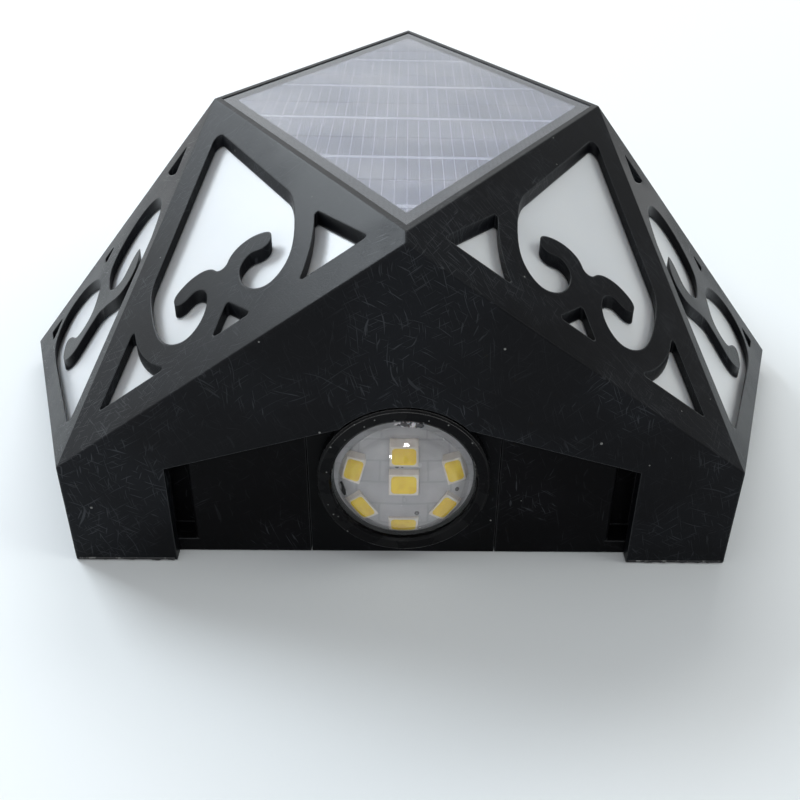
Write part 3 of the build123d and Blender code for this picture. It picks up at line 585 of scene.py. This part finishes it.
glass_epoxy, tree, shader = start("panel_board", Specular_IOR_Level=0.35)
grain = use(tree, surface_grain, Grain=2400.0, Flow=120.0)
yarn = 0.0007
weave = maths(tree, "MULTIPLY", stripes(tree, "X", yarn, 0.5), stripes(tree, "Y", yarn, 0.5))
cloth = tint(tree, weave, (0.50, 0.52, 0.59), (0.60, 0.62, 0.70))
cloth = tint(tree, step(tree, grain.outputs["Tone"], 0.45, 0.65), cloth, (0.44, 0.45, 0.50))
coat(tree, shader, cloth)
follow(tree, shader, "Roughness", grain.outputs["Tone"], 0.2, 0.32)
raise_surface(tree, shader, weave, 0.25, 0.00002)
dress(glass_epoxy, "solar_board")

silicon, tree, shader = start("solar_silicon", Specular_IOR_Level=0.6)
crystals = pattern(tree, "ShaderNodeTexVoronoi", 260, feature="F1")
blue = tint(tree, lot_of(tree, crystals, 0), (0.010, 0.016, 0.060), (0.018, 0.034, 0.115))
finger_pitch = 0.0017
busbar_pitch = 0.019456
busbar_shift = 0.00917
fingers = stripes(tree, "X", finger_pitch, 0.055)
busbars = stripes(tree, "Y", busbar_pitch, 0.055, busbar_shift)
print_lines = maths(tree, "MAXIMUM", fingers, busbars)
silver = tint(tree, print_lines, blue, (0.60, 0.61, 0.62))
coat(tree, shader, silver)
follow(tree, shader, "Roughness", print_lines, 0.15, 0.26)
follow(tree, shader, "Metallic", print_lines, 0.8)
raise_surface(tree, shader, print_lines, 0.4, 0.00002)
dress(silicon, "solar_cells")

film, tree, shader = start("matt_film", Transmission_Weight=0.88, IOR=1.46, Specular_IOR_Level=0.42)
grain = use(tree, surface_grain, Grain=3300.0, Flow=70.0)
dimples = pattern(tree, "ShaderNodeTexVoronoi", 1700, feature="SMOOTH_F1")
haze = step(tree, grain.outputs["Tone"], 0.35, 0.65)
specks = use(tree, dust, Specks=600.0, Size=0.14, Rarity=0.95)
cover = tint(tree, haze, (0.72, 0.74, 0.83), (0.84, 0.85, 0.92))
coat(tree, shader, tint(tree, specks.outputs["Mask"], cover, (0.45, 0.44, 0.42)))
follow(tree, shader, "Roughness", haze, 0.06, 0.12)
dimpled = maths(tree, "ADD", dimples.outputs["Distance"], grain.outputs["Height"])
raise_surface(tree, shader, dimpled, 0.2, 0.00004)
dress(film, "solar_film")

# ---------------------------------------------------------------------------
# Back cover and lens block
# The back cover is moulded in the same plastic with a rougher, less handled face. The lens block
# between the two seams has a smoother, glossier face. Both are given darker colours than the shell
# as painted shade of the set-back end face.
# ---------------------------------------------------------------------------
# Darker copy of the shell's plastic: painted shade of the set-back end wall.
cover_black = black_plastic(
    "cover_black", (0.0018, 0.0018, 0.0022), (0.0034, 0.0034, 0.0042), 0.44, 0.06, 0.665, 0.965
)
dress(cover_black, "back_cover")
# Darker copy of the shell's plastic: painted shade of the set-back end wall.
block_black = black_plastic(
    "block_black", (0.0016, 0.0017, 0.002), (0.003, 0.0032, 0.004), 0.30, 0.07, 0.69, 0.96, 0.0002
)
dress(block_black, "spot_holder")

# ---------------------------------------------------------------------------
# Lens, its ring and its gasket
# A clear moulded acrylic dome sits in a glossy black ring, whose top edge has a painted highlight.
# A rubber ring behind it seals it, and a dab of cloudy glue is left at the top, between the dome
# and its ring.
# ---------------------------------------------------------------------------
ring_black, tree, shader = start("ring_black", Specular_IOR_Level=0.08)
grain = use(tree, surface_grain, Grain=3000.0, Flow=240.0)
specks = use(tree, dust, Specks=1500.0, Size=0.22, Rarity=0.86)
edges = use(tree, edge_wear_and_highlight, Radius=0.00015)
scuffed = step(tree, grain.outputs["Tone"], 0.46, 0.62)
gloss = tint(tree, scuffed, (0.0025, 0.0025, 0.003), (0.006, 0.006, 0.0065))
# Painted highlight: the edge mask, rising towards the top of the ring, lightens its colour where
# the rim glints.
painted_glint_from = 0.019       # heights between which the ring's top edge starts to glint
painted_glint_full = 0.0235
upper = step(tree, along(tree, "Z"), painted_glint_from, painted_glint_full, 0.1, 1.0)
painted_glint = maths(tree, "MULTIPLY", edges.outputs["Mask"], upper)
gloss = tint(tree, painted_glint, gloss, (0.34, 0.33, 0.32))
gloss = tint(tree, specks.outputs["Mask"], gloss, (0.35, 0.35, 0.34), 0.5)
coat(tree, shader, gloss)
follow(tree, shader, "Roughness", scuffed, 0.2, 0.2)
raise_surface(tree, shader, grain.outputs["Height"], 0.3, 0.00004, edges.outputs["Normal"])
dress(ring_black, "lens_bezel")

acrylic, tree, shader = start("clear_acrylic", Transmission_Weight=1.0, IOR=1.49)
grain = use(tree, surface_grain, Grain=900.0, Flow=160.0)
lines = use(tree, hairlines, Turn=(0.2, 0.9, -0.5), Cover=0.72, Seed=3.3)
cloud = step(tree, grain.outputs["Tone"], 0.3, 0.7)
clear = tint(tree, cloud, (0.975, 0.985, 0.99), (0.99, 0.99, 0.985))
coat(tree, shader, clear)
follow(tree, shader, "Roughness", lines.outputs["Mask"], 0.18, 0.015)
raise_surface(tree, shader, grain.outputs["Tone"], 0.06, 0.00004)
dress(acrylic, "dome_lens")


def rubber(name, dark, light):
    """Matt rubber with a powdery bloom."""
    made, tree, shader = start(name, Specular_IOR_Level=0.25)
    grain = use(tree, surface_grain, Grain=5200.0, Flow=330.0)
    bloom = step(tree, grain.outputs["Tone"], 0.42, 0.66)
    coat(tree, shader, tint(tree, bloom, dark, light))
    follow(tree, shader, "Roughness", bloom, 0.12, 0.66)
    raise_surface(tree, shader, grain.outputs["Height"], 0.4, 0.00005)
    return made


dress(rubber("gasket_rubber", (0.010, 0.010, 0.011), (0.030, 0.030, 0.031)), "lens_gasket")

# The glue is a lumpy bead on an arc at the top of the ring.
glue_radius = 0.00972
glue_start = 74          # degrees from +X
glue_sweep = 24
glue_steps = 48
glue_sides = 10
glue_thin = 0.00006
glue_swell = 0.00028
ring_low, ring_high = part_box("lens_bezel")
ring_x = (ring_low[0] + ring_high[0]) / 2
ring_z = (ring_low[2] + ring_high[2]) / 2
glue_y = ring_low[1] + 0.0005
rings = []
for count in range(glue_steps + 1):
    share = count / glue_steps
    angle = radians(glue_start + glue_sweep * share)
    outward = Vector((cos(angle), 0, sin(angle)))
    middle = Vector((ring_x, glue_y, ring_z)) + glue_radius * outward
    swell = sin(pi * share) ** 0.6
    lump = noise.noise(Vector((count * 0.47, 0.3, 2.2)))
    lump += 0.6 * noise.noise(Vector((count * 1.3, 4.0, 0.7)))
    thick = glue_thin + glue_swell * swell * (1 + 0.6 * lump)
    loop = []
    for turn in range(glue_sides):
        bend = 2 * pi * turn / glue_sides
        ragged = thick * (1 + 0.35 * noise.noise(Vector((count * 0.9, turn * 1.1, 5.0))))
        away = outward * (1.5 * ragged * cos(bend))
        loop.append(middle + away + Vector((0, -0.8 * ragged * sin(bend), 0)))
    rings.append(loop)
glue = bmesh.new()
skin_rings(glue, rings)
glue_piece = piece_from("lens_glue", glue, True)
cloudy_glue, tree, shader = start("cloudy_glue", Subsurface_Weight=0.25, Subsurface_Scale=0.0004)
grain = use(tree, surface_grain, Grain=4300.0, Flow=1500.0)
crumbs = step(tree, grain.outputs["Tone"], 0.48, 0.56)
coat(tree, shader, tint(tree, crumbs, (0.05, 0.047, 0.05), (0.60, 0.57, 0.58)))
follow(tree, shader, "Roughness", crumbs, 0.25, 0.35)
raise_surface(tree, shader, grain.outputs["Height"], 0.9, 0.0001)
glue_piece.data.materials.append(cloudy_glue)
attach(glue_piece, "housing")

# ---------------------------------------------------------------------------
# Lamp board behind the lens
# A round grey-masked aluminium board with seven surface lamps: cream housings, yellow phosphor
# under clear silicone, and one small black resistor with tinned ends.
# ---------------------------------------------------------------------------
mask_grey, tree, shader = start("lamp_board_grey", Specular_IOR_Level=0.3)
grain = use(tree, surface_grain, Grain=3600.0, Flow=300.0)
specks = use(tree, dust, Specks=1300.0, Size=0.2, Rarity=0.93)
prints = add(tree, "ShaderNodeTexBrick", offset=0.5)
prints.inputs["Scale"].default_value = 90
prints.inputs["Mortar Size"].default_value = 0.012
laid = add(tree, "ShaderNodeMapping", vector_type="POINT")
laid.inputs["Rotation"].default_value = (radians(90), 0, 0)
tree.links.new(place_of(tree), laid.inputs["Vector"])
tree.links.new(laid.outputs[0], prints.inputs["Vector"])
clouded = step(tree, grain.outputs["Tone"], 0.35, 0.65)
grey = tint(tree, clouded, (0.40, 0.39, 0.405), (0.47, 0.46, 0.475))
grey = tint(tree, prints.outputs["Fac"], grey, (0.24, 0.24, 0.25), 0.35)
grey = tint(tree, specks.outputs["Mask"], grey, (0.07, 0.065, 0.06), 0.7)
board_low, board_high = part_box("spot_board")
board_x = (board_low[0] + board_high[0]) / 2
board_z = (board_low[2] + board_high[2]) / 2
mm = 0.001
for right_of, above, inner, outer, shade in (  # vias, pads and dark spots, in mm
    (-0.8, 1.35, -0.1, 0.27, (0.03, 0.03, 0.03)),
    (-0.2, 1.3, -0.1, 0.16, (0.03, 0.03, 0.03)),
    (1.75, 1.5, 0.05, 0.33, (0.55, 0.55, 0.56)),
    (1.5, -4.75, 0.06, 0.28, (0.04, 0.035, 0.04)),
    (-7.0, -2.9, 0.0, 0.3, (0.5, 0.5, 0.5)),
    (6.4, -1.9, -0.1, 0.3, (0.035, 0.03, 0.03)),
):
    spot = (board_x + right_of * mm, board_low[1], board_z + above * mm)
    away = distance_to(tree, spot)
    within = maths(tree, "LESS_THAN", away, outer * mm)
    ring = maths(tree, "MULTIPLY", within, maths(tree, "GREATER_THAN", away, inner * mm))
    grey = tint(tree, ring, grey, shade, 0.9)
coat(tree, shader, grey)
follow(tree, shader, "Roughness", grain.outputs["Tone"], 0.2, 0.38)
printed = maths(tree, "ADD", prints.outputs["Fac"], grain.outputs["Height"])
raise_surface(tree, shader, printed, 0.25, 0.00003)
dress(mask_grey, "spot_board")

cream, tree, shader = start("lamp_housing", Specular_IOR_Level=0.45)
grain = use(tree, surface_grain, Grain=6000.0, Flow=700.0)
edges = use(tree, edge_wear_and_highlight, Radius=0.00012, Sharpness=3.0)
aged = step(tree, grain.outputs["Tone"], 0.4, 0.65)
housing_tone = tint(tree, aged, (0.72, 0.64, 0.57), (0.80, 0.74, 0.68))
coat(tree, shader, tint(tree, edges.outputs["Mask"], housing_tone, (0.80, 0.76, 0.72), 0.4))
follow(tree, shader, "Roughness", aged, 0.1, 0.34)
raise_surface(tree, shader, grain.outputs["Height"], 0.3, 0.00002, edges.outputs["Normal"])
dress(cream, "spot_led_bodies", "glow_led_bodies")

phosphor, tree, shader = start("lamp_phosphor", Coat_Roughness=0.12, Specular_IOR_Level=0.4)
grain = use(tree, surface_grain, Grain=7000.0, Flow=900.0)
specks = use(tree, dust, Specks=2600.0, Size=0.2, Rarity=0.93)
settled = step(tree, grain.outputs["Tone"], 0.38, 0.62)
yellow = tint(tree, settled, (0.86, 0.56, 0.012), (0.95, 0.67, 0.022))
grains = step(tree, grain.outputs["Height"], 0.5, 0.75)
yellow = tint(tree, grains, yellow, (0.96, 0.78, 0.10), 0.3)
coat(tree, shader, tint(tree, specks.outputs["Mask"], yellow, (0.22, 0.13, 0.02)))
follow(tree, shader, "Roughness", settled, 0.15, 0.4)
follow(tree, shader, "Coat Weight", settled, 0.2, 0.2)
raise_surface(tree, shader, grain.outputs["Height"], 0.4, 0.00002)
dress(phosphor, "spot_led_phosphor", "glow_led_phosphor")


def ends_mask(tree, node, axis, share):
    """Mask over both ends of a small part, by its box."""
    low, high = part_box(node)
    middle = (low[axis] + high[axis]) / 2
    away = maths(tree, "ABSOLUTE", maths(tree, "SUBTRACT", along(tree, axis), middle))
    return maths(tree, "GREATER_THAN", away, (high[axis] - low[axis]) / 2 * share)


def chip_ceramic(name, node, axis, share):
    """Dark glazed chip with tinned ends."""
    made, tree, shader = start(name, Specular_IOR_Level=0.4)
    grain = use(tree, surface_grain, Grain=8000.0, Flow=1500.0)
    tinned = ends_mask(tree, node, axis, share)
    body = tint(tree, grain.outputs["Tone"], (0.008, 0.008, 0.009), (0.03, 0.03, 0.032))
    tin = tint(tree, grain.outputs["Height"], (0.45, 0.45, 0.46), (0.72, 0.72, 0.73))
    coat(tree, shader, tint(tree, tinned, body, tin))
    tree.links.new(tinned, shader.inputs["Metallic"])
    follow(tree, shader, "Roughness", grain.outputs["Tone"], 0.25, 0.22)
    raise_surface(tree, shader, grain.outputs["Height"], 0.4, 0.00003)
    return made


dress(chip_ceramic("spot_resistor_glaze", "spot_resistor", 0, 0.55), "spot_resistor")

# ---------------------------------------------------------------------------
# Main board and its components
# Green solder mask over copper traces and plated vias. On it: side lamps, a black controller with
# tinned legs, an inductor with a copper winding, a sleeved capacitor and small chip resistors.
# ---------------------------------------------------------------------------
green_mask, tree, shader = start("green_mask", Specular_IOR_Level=0.5)
grain = use(tree, surface_grain, Grain=3800.0, Flow=180.0)
routing = pattern(
    tree,
    "ShaderNodeTexBrick",
    150,
    offset=0.37,
    offset_frequency=3,
    squash=0.6,
    squash_frequency=2,
)
routing.inputs["Mortar Size"].default_value = 0.05
routing.inputs["Mortar Smooth"].default_value = 0.15
plates = pattern(tree, "ShaderNodeTexVoronoi", 330, feature="F1")
picked = maths(tree, "GREATER_THAN", lot_of(tree, plates, 0), 0.86)
via = maths(tree, "MULTIPLY", picked, maths(tree, "LESS_THAN", plates.outputs["Distance"], 0.12))
clouded = step(tree, grain.outputs["Tone"], 0.35, 0.65)
laminate = tint(tree, clouded, (0.006, 0.070, 0.022), (0.010, 0.095, 0.032))
traced = tint(tree, routing.outputs["Fac"], laminate, (0.028, 0.190, 0.060), 0.75)
coat(tree, shader, tint(tree, via, traced, (0.58, 0.57, 0.54)))
follow(tree, shader, "Roughness", grain.outputs["Tone"], 0.16, 0.24)
follow(tree, shader, "Metallic", via, 0.9)
raise_surface(tree, shader, maths(tree, "ADD", routing.outputs["Fac"], via), 0.35, 0.00003)
dress(green_mask, "main_board")


def leg_mask(tree, node, axis, share, top):
    """Mask over the legs of a package: both sides, under a given share of its height."""
    low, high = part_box(node)
    under = maths(tree, "LESS_THAN", along(tree, "Z"), low[2] + (high[2] - low[2]) * top)
    return maths(tree, "MULTIPLY", under, ends_mask(tree, node, axis, share))


package, tree, shader = start("package_black", Specular_IOR_Level=0.35)
grain = use(tree, surface_grain, Grain=6200.0, Flow=420.0)
legs = leg_mask(tree, "control_chip", 0, 0.81, 0.98)
clouded = step(tree, grain.outputs["Tone"], 0.4, 0.62)
resin = tint(tree, clouded, (0.010, 0.010, 0.011), (0.022, 0.022, 0.024))
coat(tree, shader, tint(tree, legs, resin, (0.62, 0.62, 0.63)))
tree.links.new(legs, shader.inputs["Metallic"])
follow(tree, shader, "Roughness", legs, -0.24, 0.52)
raise_surface(tree, shader, grain.outputs["Height"], 0.5, 0.00004)
dress(package, "control_chip")

ferrite, tree, shader = start("ferrite_and_copper", Specular_IOR_Level=0.4)
grain = use(tree, surface_grain, Grain=5200.0, Flow=500.0)
flange = ends_mask(tree, "inductor", 2, 0.46)
turns = stripes(tree, "Z", 0.00034, 0.72)
core = tint(tree, grain.outputs["Tone"], (0.020, 0.019, 0.018), (0.055, 0.053, 0.050))
wire = tint(tree, turns, (0.10, 0.030, 0.010), (0.60, 0.22, 0.075))
coat(tree, shader, tint(tree, flange, wire, core))
follow(tree, shader, "Metallic", flange, -0.9, 0.9)
follow(tree, shader, "Roughness", flange, 0.32, 0.30)
raise_surface(tree, shader, maths(tree, "ADD", turns, grain.outputs["Height"]), 0.4, 0.00005)
dress(ferrite, "inductor")

can_low, can_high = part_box("capacitor")
can_axis_y = (can_low[1] + can_high[1]) / 2
can_sleeve, tree, shader = start("capacitor_sleeve", Specular_IOR_Level=0.5)
grain = use(tree, surface_grain, Grain=4200.0, Flow=260.0)
lid_t = 0.00035
lid = maths(tree, "GREATER_THAN", along(tree, "Z"), can_high[2] - lid_t)
stripe_in = 0.0021
minus_side = maths(tree, "LESS_THAN", along(tree, "Y"), can_axis_y - stripe_in)
dashes = maths(tree, "SUBTRACT", 1.0, stripes(tree, "Z", 0.0015, 0.28))
minus_stripe = maths(tree, "MULTIPLY", minus_side, dashes)
sleeve_tone = tint(tree, grain.outputs["Tone"], (0.008, 0.011, 0.028), (0.014, 0.020, 0.050))
sleeve_tone = tint(tree, minus_stripe, sleeve_tone, (0.50, 0.52, 0.55))
coat(tree, shader, tint(tree, lid, sleeve_tone, (0.66, 0.66, 0.67)))
tree.links.new(lid, shader.inputs["Metallic"])
follow(tree, shader, "Roughness", grain.outputs["Tone"], 0.18, 0.22)
raise_surface(tree, shader, grain.outputs["Height"], 0.25, 0.00004)
dress(can_sleeve, "capacitor")

dress(chip_ceramic("resistor_glaze", "board_resistors", 0, 0.62), "board_resistors")

# ---------------------------------------------------------------------------
# Switch and power button
# A small push switch in grey plastic with an ivory plunger. The button under it is soft black
# plastic, shiny in the middle where fingers press it.
# ---------------------------------------------------------------------------


def moulded(name, dark, light, roughness, gloss):
    """Plain moulded plastic with a matt grain, dust and brighter edges."""
    made, tree, shader = start(name, Specular_IOR_Level=gloss)
    grain = use(tree, surface_grain, Grain=4600.0, Flow=210.0)
    specks = use(tree, dust, Specks=1100.0, Size=0.16, Rarity=0.94)
    edges = use(tree, edge_wear_and_highlight, Radius=0.00015)
    tone = tint(tree, step(tree, grain.outputs["Tone"], 0.36, 0.64), dark, light)
    lifted = tuple(min(1.0, value * 1.5 + 0.03) for value in light)
    tone = tint(tree, edges.outputs["Mask"], tone, lifted, 0.3)
    coat(tree, shader, tint(tree, specks.outputs["Mask"], tone, (0.42, 0.41, 0.39), 0.35))
    follow(tree, shader, "Roughness", grain.outputs["Tone"], 0.16, roughness)
    raise_surface(tree, shader, grain.outputs["Height"], 0.3, 0.00004, edges.outputs["Normal"])
    return made


switch_grey = moulded("switch_grey", (0.030, 0.031, 0.034), (0.050, 0.051, 0.055), 0.40, 0.4)
dress(switch_grey, "switch_body")
plunger_ivory = moulded("plunger_ivory", (0.52, 0.48, 0.40), (0.62, 0.59, 0.52), 0.36, 0.4)
dress(plunger_ivory, "switch_plunger")

button_low, button_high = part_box("power_button")
pressed, tree, shader = start("button_black", Specular_IOR_Level=0.35)
grain = use(tree, surface_grain, Grain=5200.0, Flow=260.0)
specks = use(tree, dust, Specks=1200.0, Size=0.2, Rarity=0.9)
button_x = (button_low[0] + button_high[0]) / 2
button_y = (button_low[1] + button_high[1]) / 2
from_centre = distance_to(tree, (button_x, button_y, button_low[2]))
finger_reach = 0.0035    # radii of the whole and the fully polished spot
finger_middle = 0.0012
polished = step(tree, from_centre, finger_reach, finger_middle)
soft = tint(tree, grain.outputs["Tone"], (0.010, 0.010, 0.011), (0.024, 0.024, 0.026))
soft = tint(tree, polished, soft, (0.040, 0.040, 0.043), 0.4)
coat(tree, shader, tint(tree, specks.outputs["Mask"], soft, (0.34, 0.33, 0.31), 0.4))
follow(tree, shader, "Roughness", polished, -0.22, 0.62)
raise_surface(tree, shader, grain.outputs["Height"], 0.45, 0.00004)
dress(pressed, "power_button")

# ---------------------------------------------------------------------------
# Battery group
# A lithium cell in a shrunk teal sleeve with a paler band, with nickel end caps and tabs, held
# by a cradle and a strap in black plastic.
# ---------------------------------------------------------------------------
sleeve, tree, shader = start("shrink_sleeve", Specular_IOR_Level=0.55)
grain = use(tree, surface_grain, Grain=2600.0, Flow=130.0)
lines = use(tree, hairlines, Turn=(0.4, 0.1, 0.9), Cover=0.66, Seed=2.1)
wrinkled = pattern(tree, "ShaderNodeTexWave", 420, wave_type="BANDS", bands_direction="X")
wrinkled.inputs["Distortion"].default_value = 6
shrunk = maths(tree, "MULTIPLY", wrinkled.outputs["Fac"], ends_mask(tree, "battery_cell", 0, 0.92))
band_x = 0.012
band_half = 0.0032
from_band = maths(tree, "ABSOLUTE", maths(tree, "SUBTRACT", along(tree, "X"), band_x))
band = maths(tree, "LESS_THAN", from_band, band_half)
clouded = step(tree, grain.outputs["Tone"], 0.36, 0.64)
teal = tint(tree, clouded, (0.012, 0.130, 0.145), (0.020, 0.180, 0.190))
teal = tint(tree, band, teal, (0.55, 0.60, 0.58), 0.85)
coat(tree, shader, tint(tree, lines.outputs["Mask"], teal, (0.25, 0.36, 0.36), 0.4))
follow(tree, shader, "Roughness", lines.outputs["Mask"], 0.2, 0.26)
wavy = maths(tree, "ADD", shrunk, maths(tree, "MULTIPLY", grain.outputs["Tone"], 0.4))
raise_surface(tree, shader, wavy, 0.3, 0.00008)
dress(sleeve, "battery_cell")


def metal(name, dark, light, roughness, turn, stain, stained):
    """Bare metal with rolling or turning marks, stains and bright edges."""
    made, tree, shader = start(name, Metallic=1.0)
    grain = use(tree, surface_grain, Grain=5200.0, Flow=360.0)
    lines = use(tree, hairlines, Turn=turn, Fineness=1.4, Cover=0.55, Seed=5.2)
    edges = use(tree, edge_wear_and_highlight, Radius=0.00012)
    tone = tint(tree, lines.outputs["Mask"], dark, light)
    tone = tint(tree, edges.outputs["Mask"], tone, (0.86, 0.86, 0.86), 0.4)
    tarnish = step(tree, grain.outputs["Tone"], 0.52, 0.70, 0.0, stained)
    coat(tree, shader, tint(tree, tarnish, tone, stain))
    rough = maths(tree, "ADD", maths(tree, "MULTIPLY", lines.outputs["Mask"], -0.08), roughness)
    follow(tree, shader, "Roughness", tarnish, 0.25, rough)
    raise_surface(tree, shader, lines.outputs["Mask"], 0.15, 0.00002, edges.outputs["Normal"])
    return made


nickel_plate = metal(
    "nickel_plate",
    dark=(0.56, 0.54, 0.50),
    light=(0.72, 0.70, 0.66),
    roughness=0.34,
    turn=(0.1, 0.2, 0.4),
    stain=(0.34, 0.29, 0.21),
    stained=0.5,
)
dress(nickel_plate, "battery_caps", "battery_tabs")
cradle_black = black_plastic(
    "cradle_black", (0.006, 0.006, 0.007), (0.012, 0.012, 0.013), 0.50, 0.2, 0.70, 0.95, 0.0002
)
dress(cradle_black, "battery_cradle")
strap_black = black_plastic(
    "strap_black", (0.005, 0.005, 0.006), (0.010, 0.010, 0.011), 0.42, 0.22, 0.68, 0.93, 0.0002
)
dress(strap_black, "battery_strap")

# ---------------------------------------------------------------------------
# Back seal and screws
# A grey-black silicone cord lies in the back cover's groove. The cover's and the board's screws
# are zinc-plated steel, those of the cradle and the strap are darker.
# ---------------------------------------------------------------------------
dress(rubber("seal_rubber", (0.016, 0.016, 0.017), (0.045, 0.045, 0.046)), "back_seal")

zinc_steel = metal(
    "zinc_steel",
    dark=(0.44, 0.44, 0.45),
    light=(0.62, 0.62, 0.63),
    roughness=0.32,
    turn=(0.7, 0.3, 0.2),
    stain=(0.16, 0.135, 0.11),
    stained=0.6,
)
dress(zinc_steel, "cover_screws", "board_screws")
dark_steel = metal(
    "dark_steel",
    dark=(0.20, 0.20, 0.21),
    light=(0.36, 0.36, 0.37),
    roughness=0.38,
    turn=(0.3, 0.9, 0.1),
    stain=(0.10, 0.08, 0.06),
    stained=0.6,
)
dress(dark_steel, "cradle_screws", "strap_screws")

# ---------------------------------------------------------------------------
# Leads
# Six soft PVC-insulated wires, red for plus and black for minus.
# ---------------------------------------------------------------------------


def insulation(name, dark, light, gloss):
    """Soft drawn PVC with slight sags in its gloss and handling marks."""
    made, tree, shader = start(name, Specular_IOR_Level=gloss)
    grain = use(tree, surface_grain, Grain=2200.0, Flow=240.0)
    lines = use(tree, hairlines, Turn=(0.3, 0.2, 1.4), Cover=0.63, Seed=7.4)
    tone = tint(tree, step(tree, grain.outputs["Tone"], 0.34, 0.66), dark, light)
    pale = tuple(value * 0.6 + 0.18 for value in light)
    coat(tree, shader, tint(tree, lines.outputs["Mask"], tone, pale, 0.3))
    follow(tree, shader, "Roughness", grain.outputs["Tone"], 0.2, 0.30)
    raise_surface(tree, shader, grain.outputs["Height"], 0.25, 0.00004)
    return made


dress(
    insulation("red_lead", (0.28, 0.008, 0.010), (0.42, 0.018, 0.018), 0.45),
    "solar_lead_red",
    "battery_lead_red",
    "spot_lead_red",
)
dress(
    insulation("black_lead", (0.008, 0.008, 0.009), (0.020, 0.020, 0.022), 0.4),
    "solar_lead_black",
    "battery_lead_black",
    "spot_lead_black",
)

low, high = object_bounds()
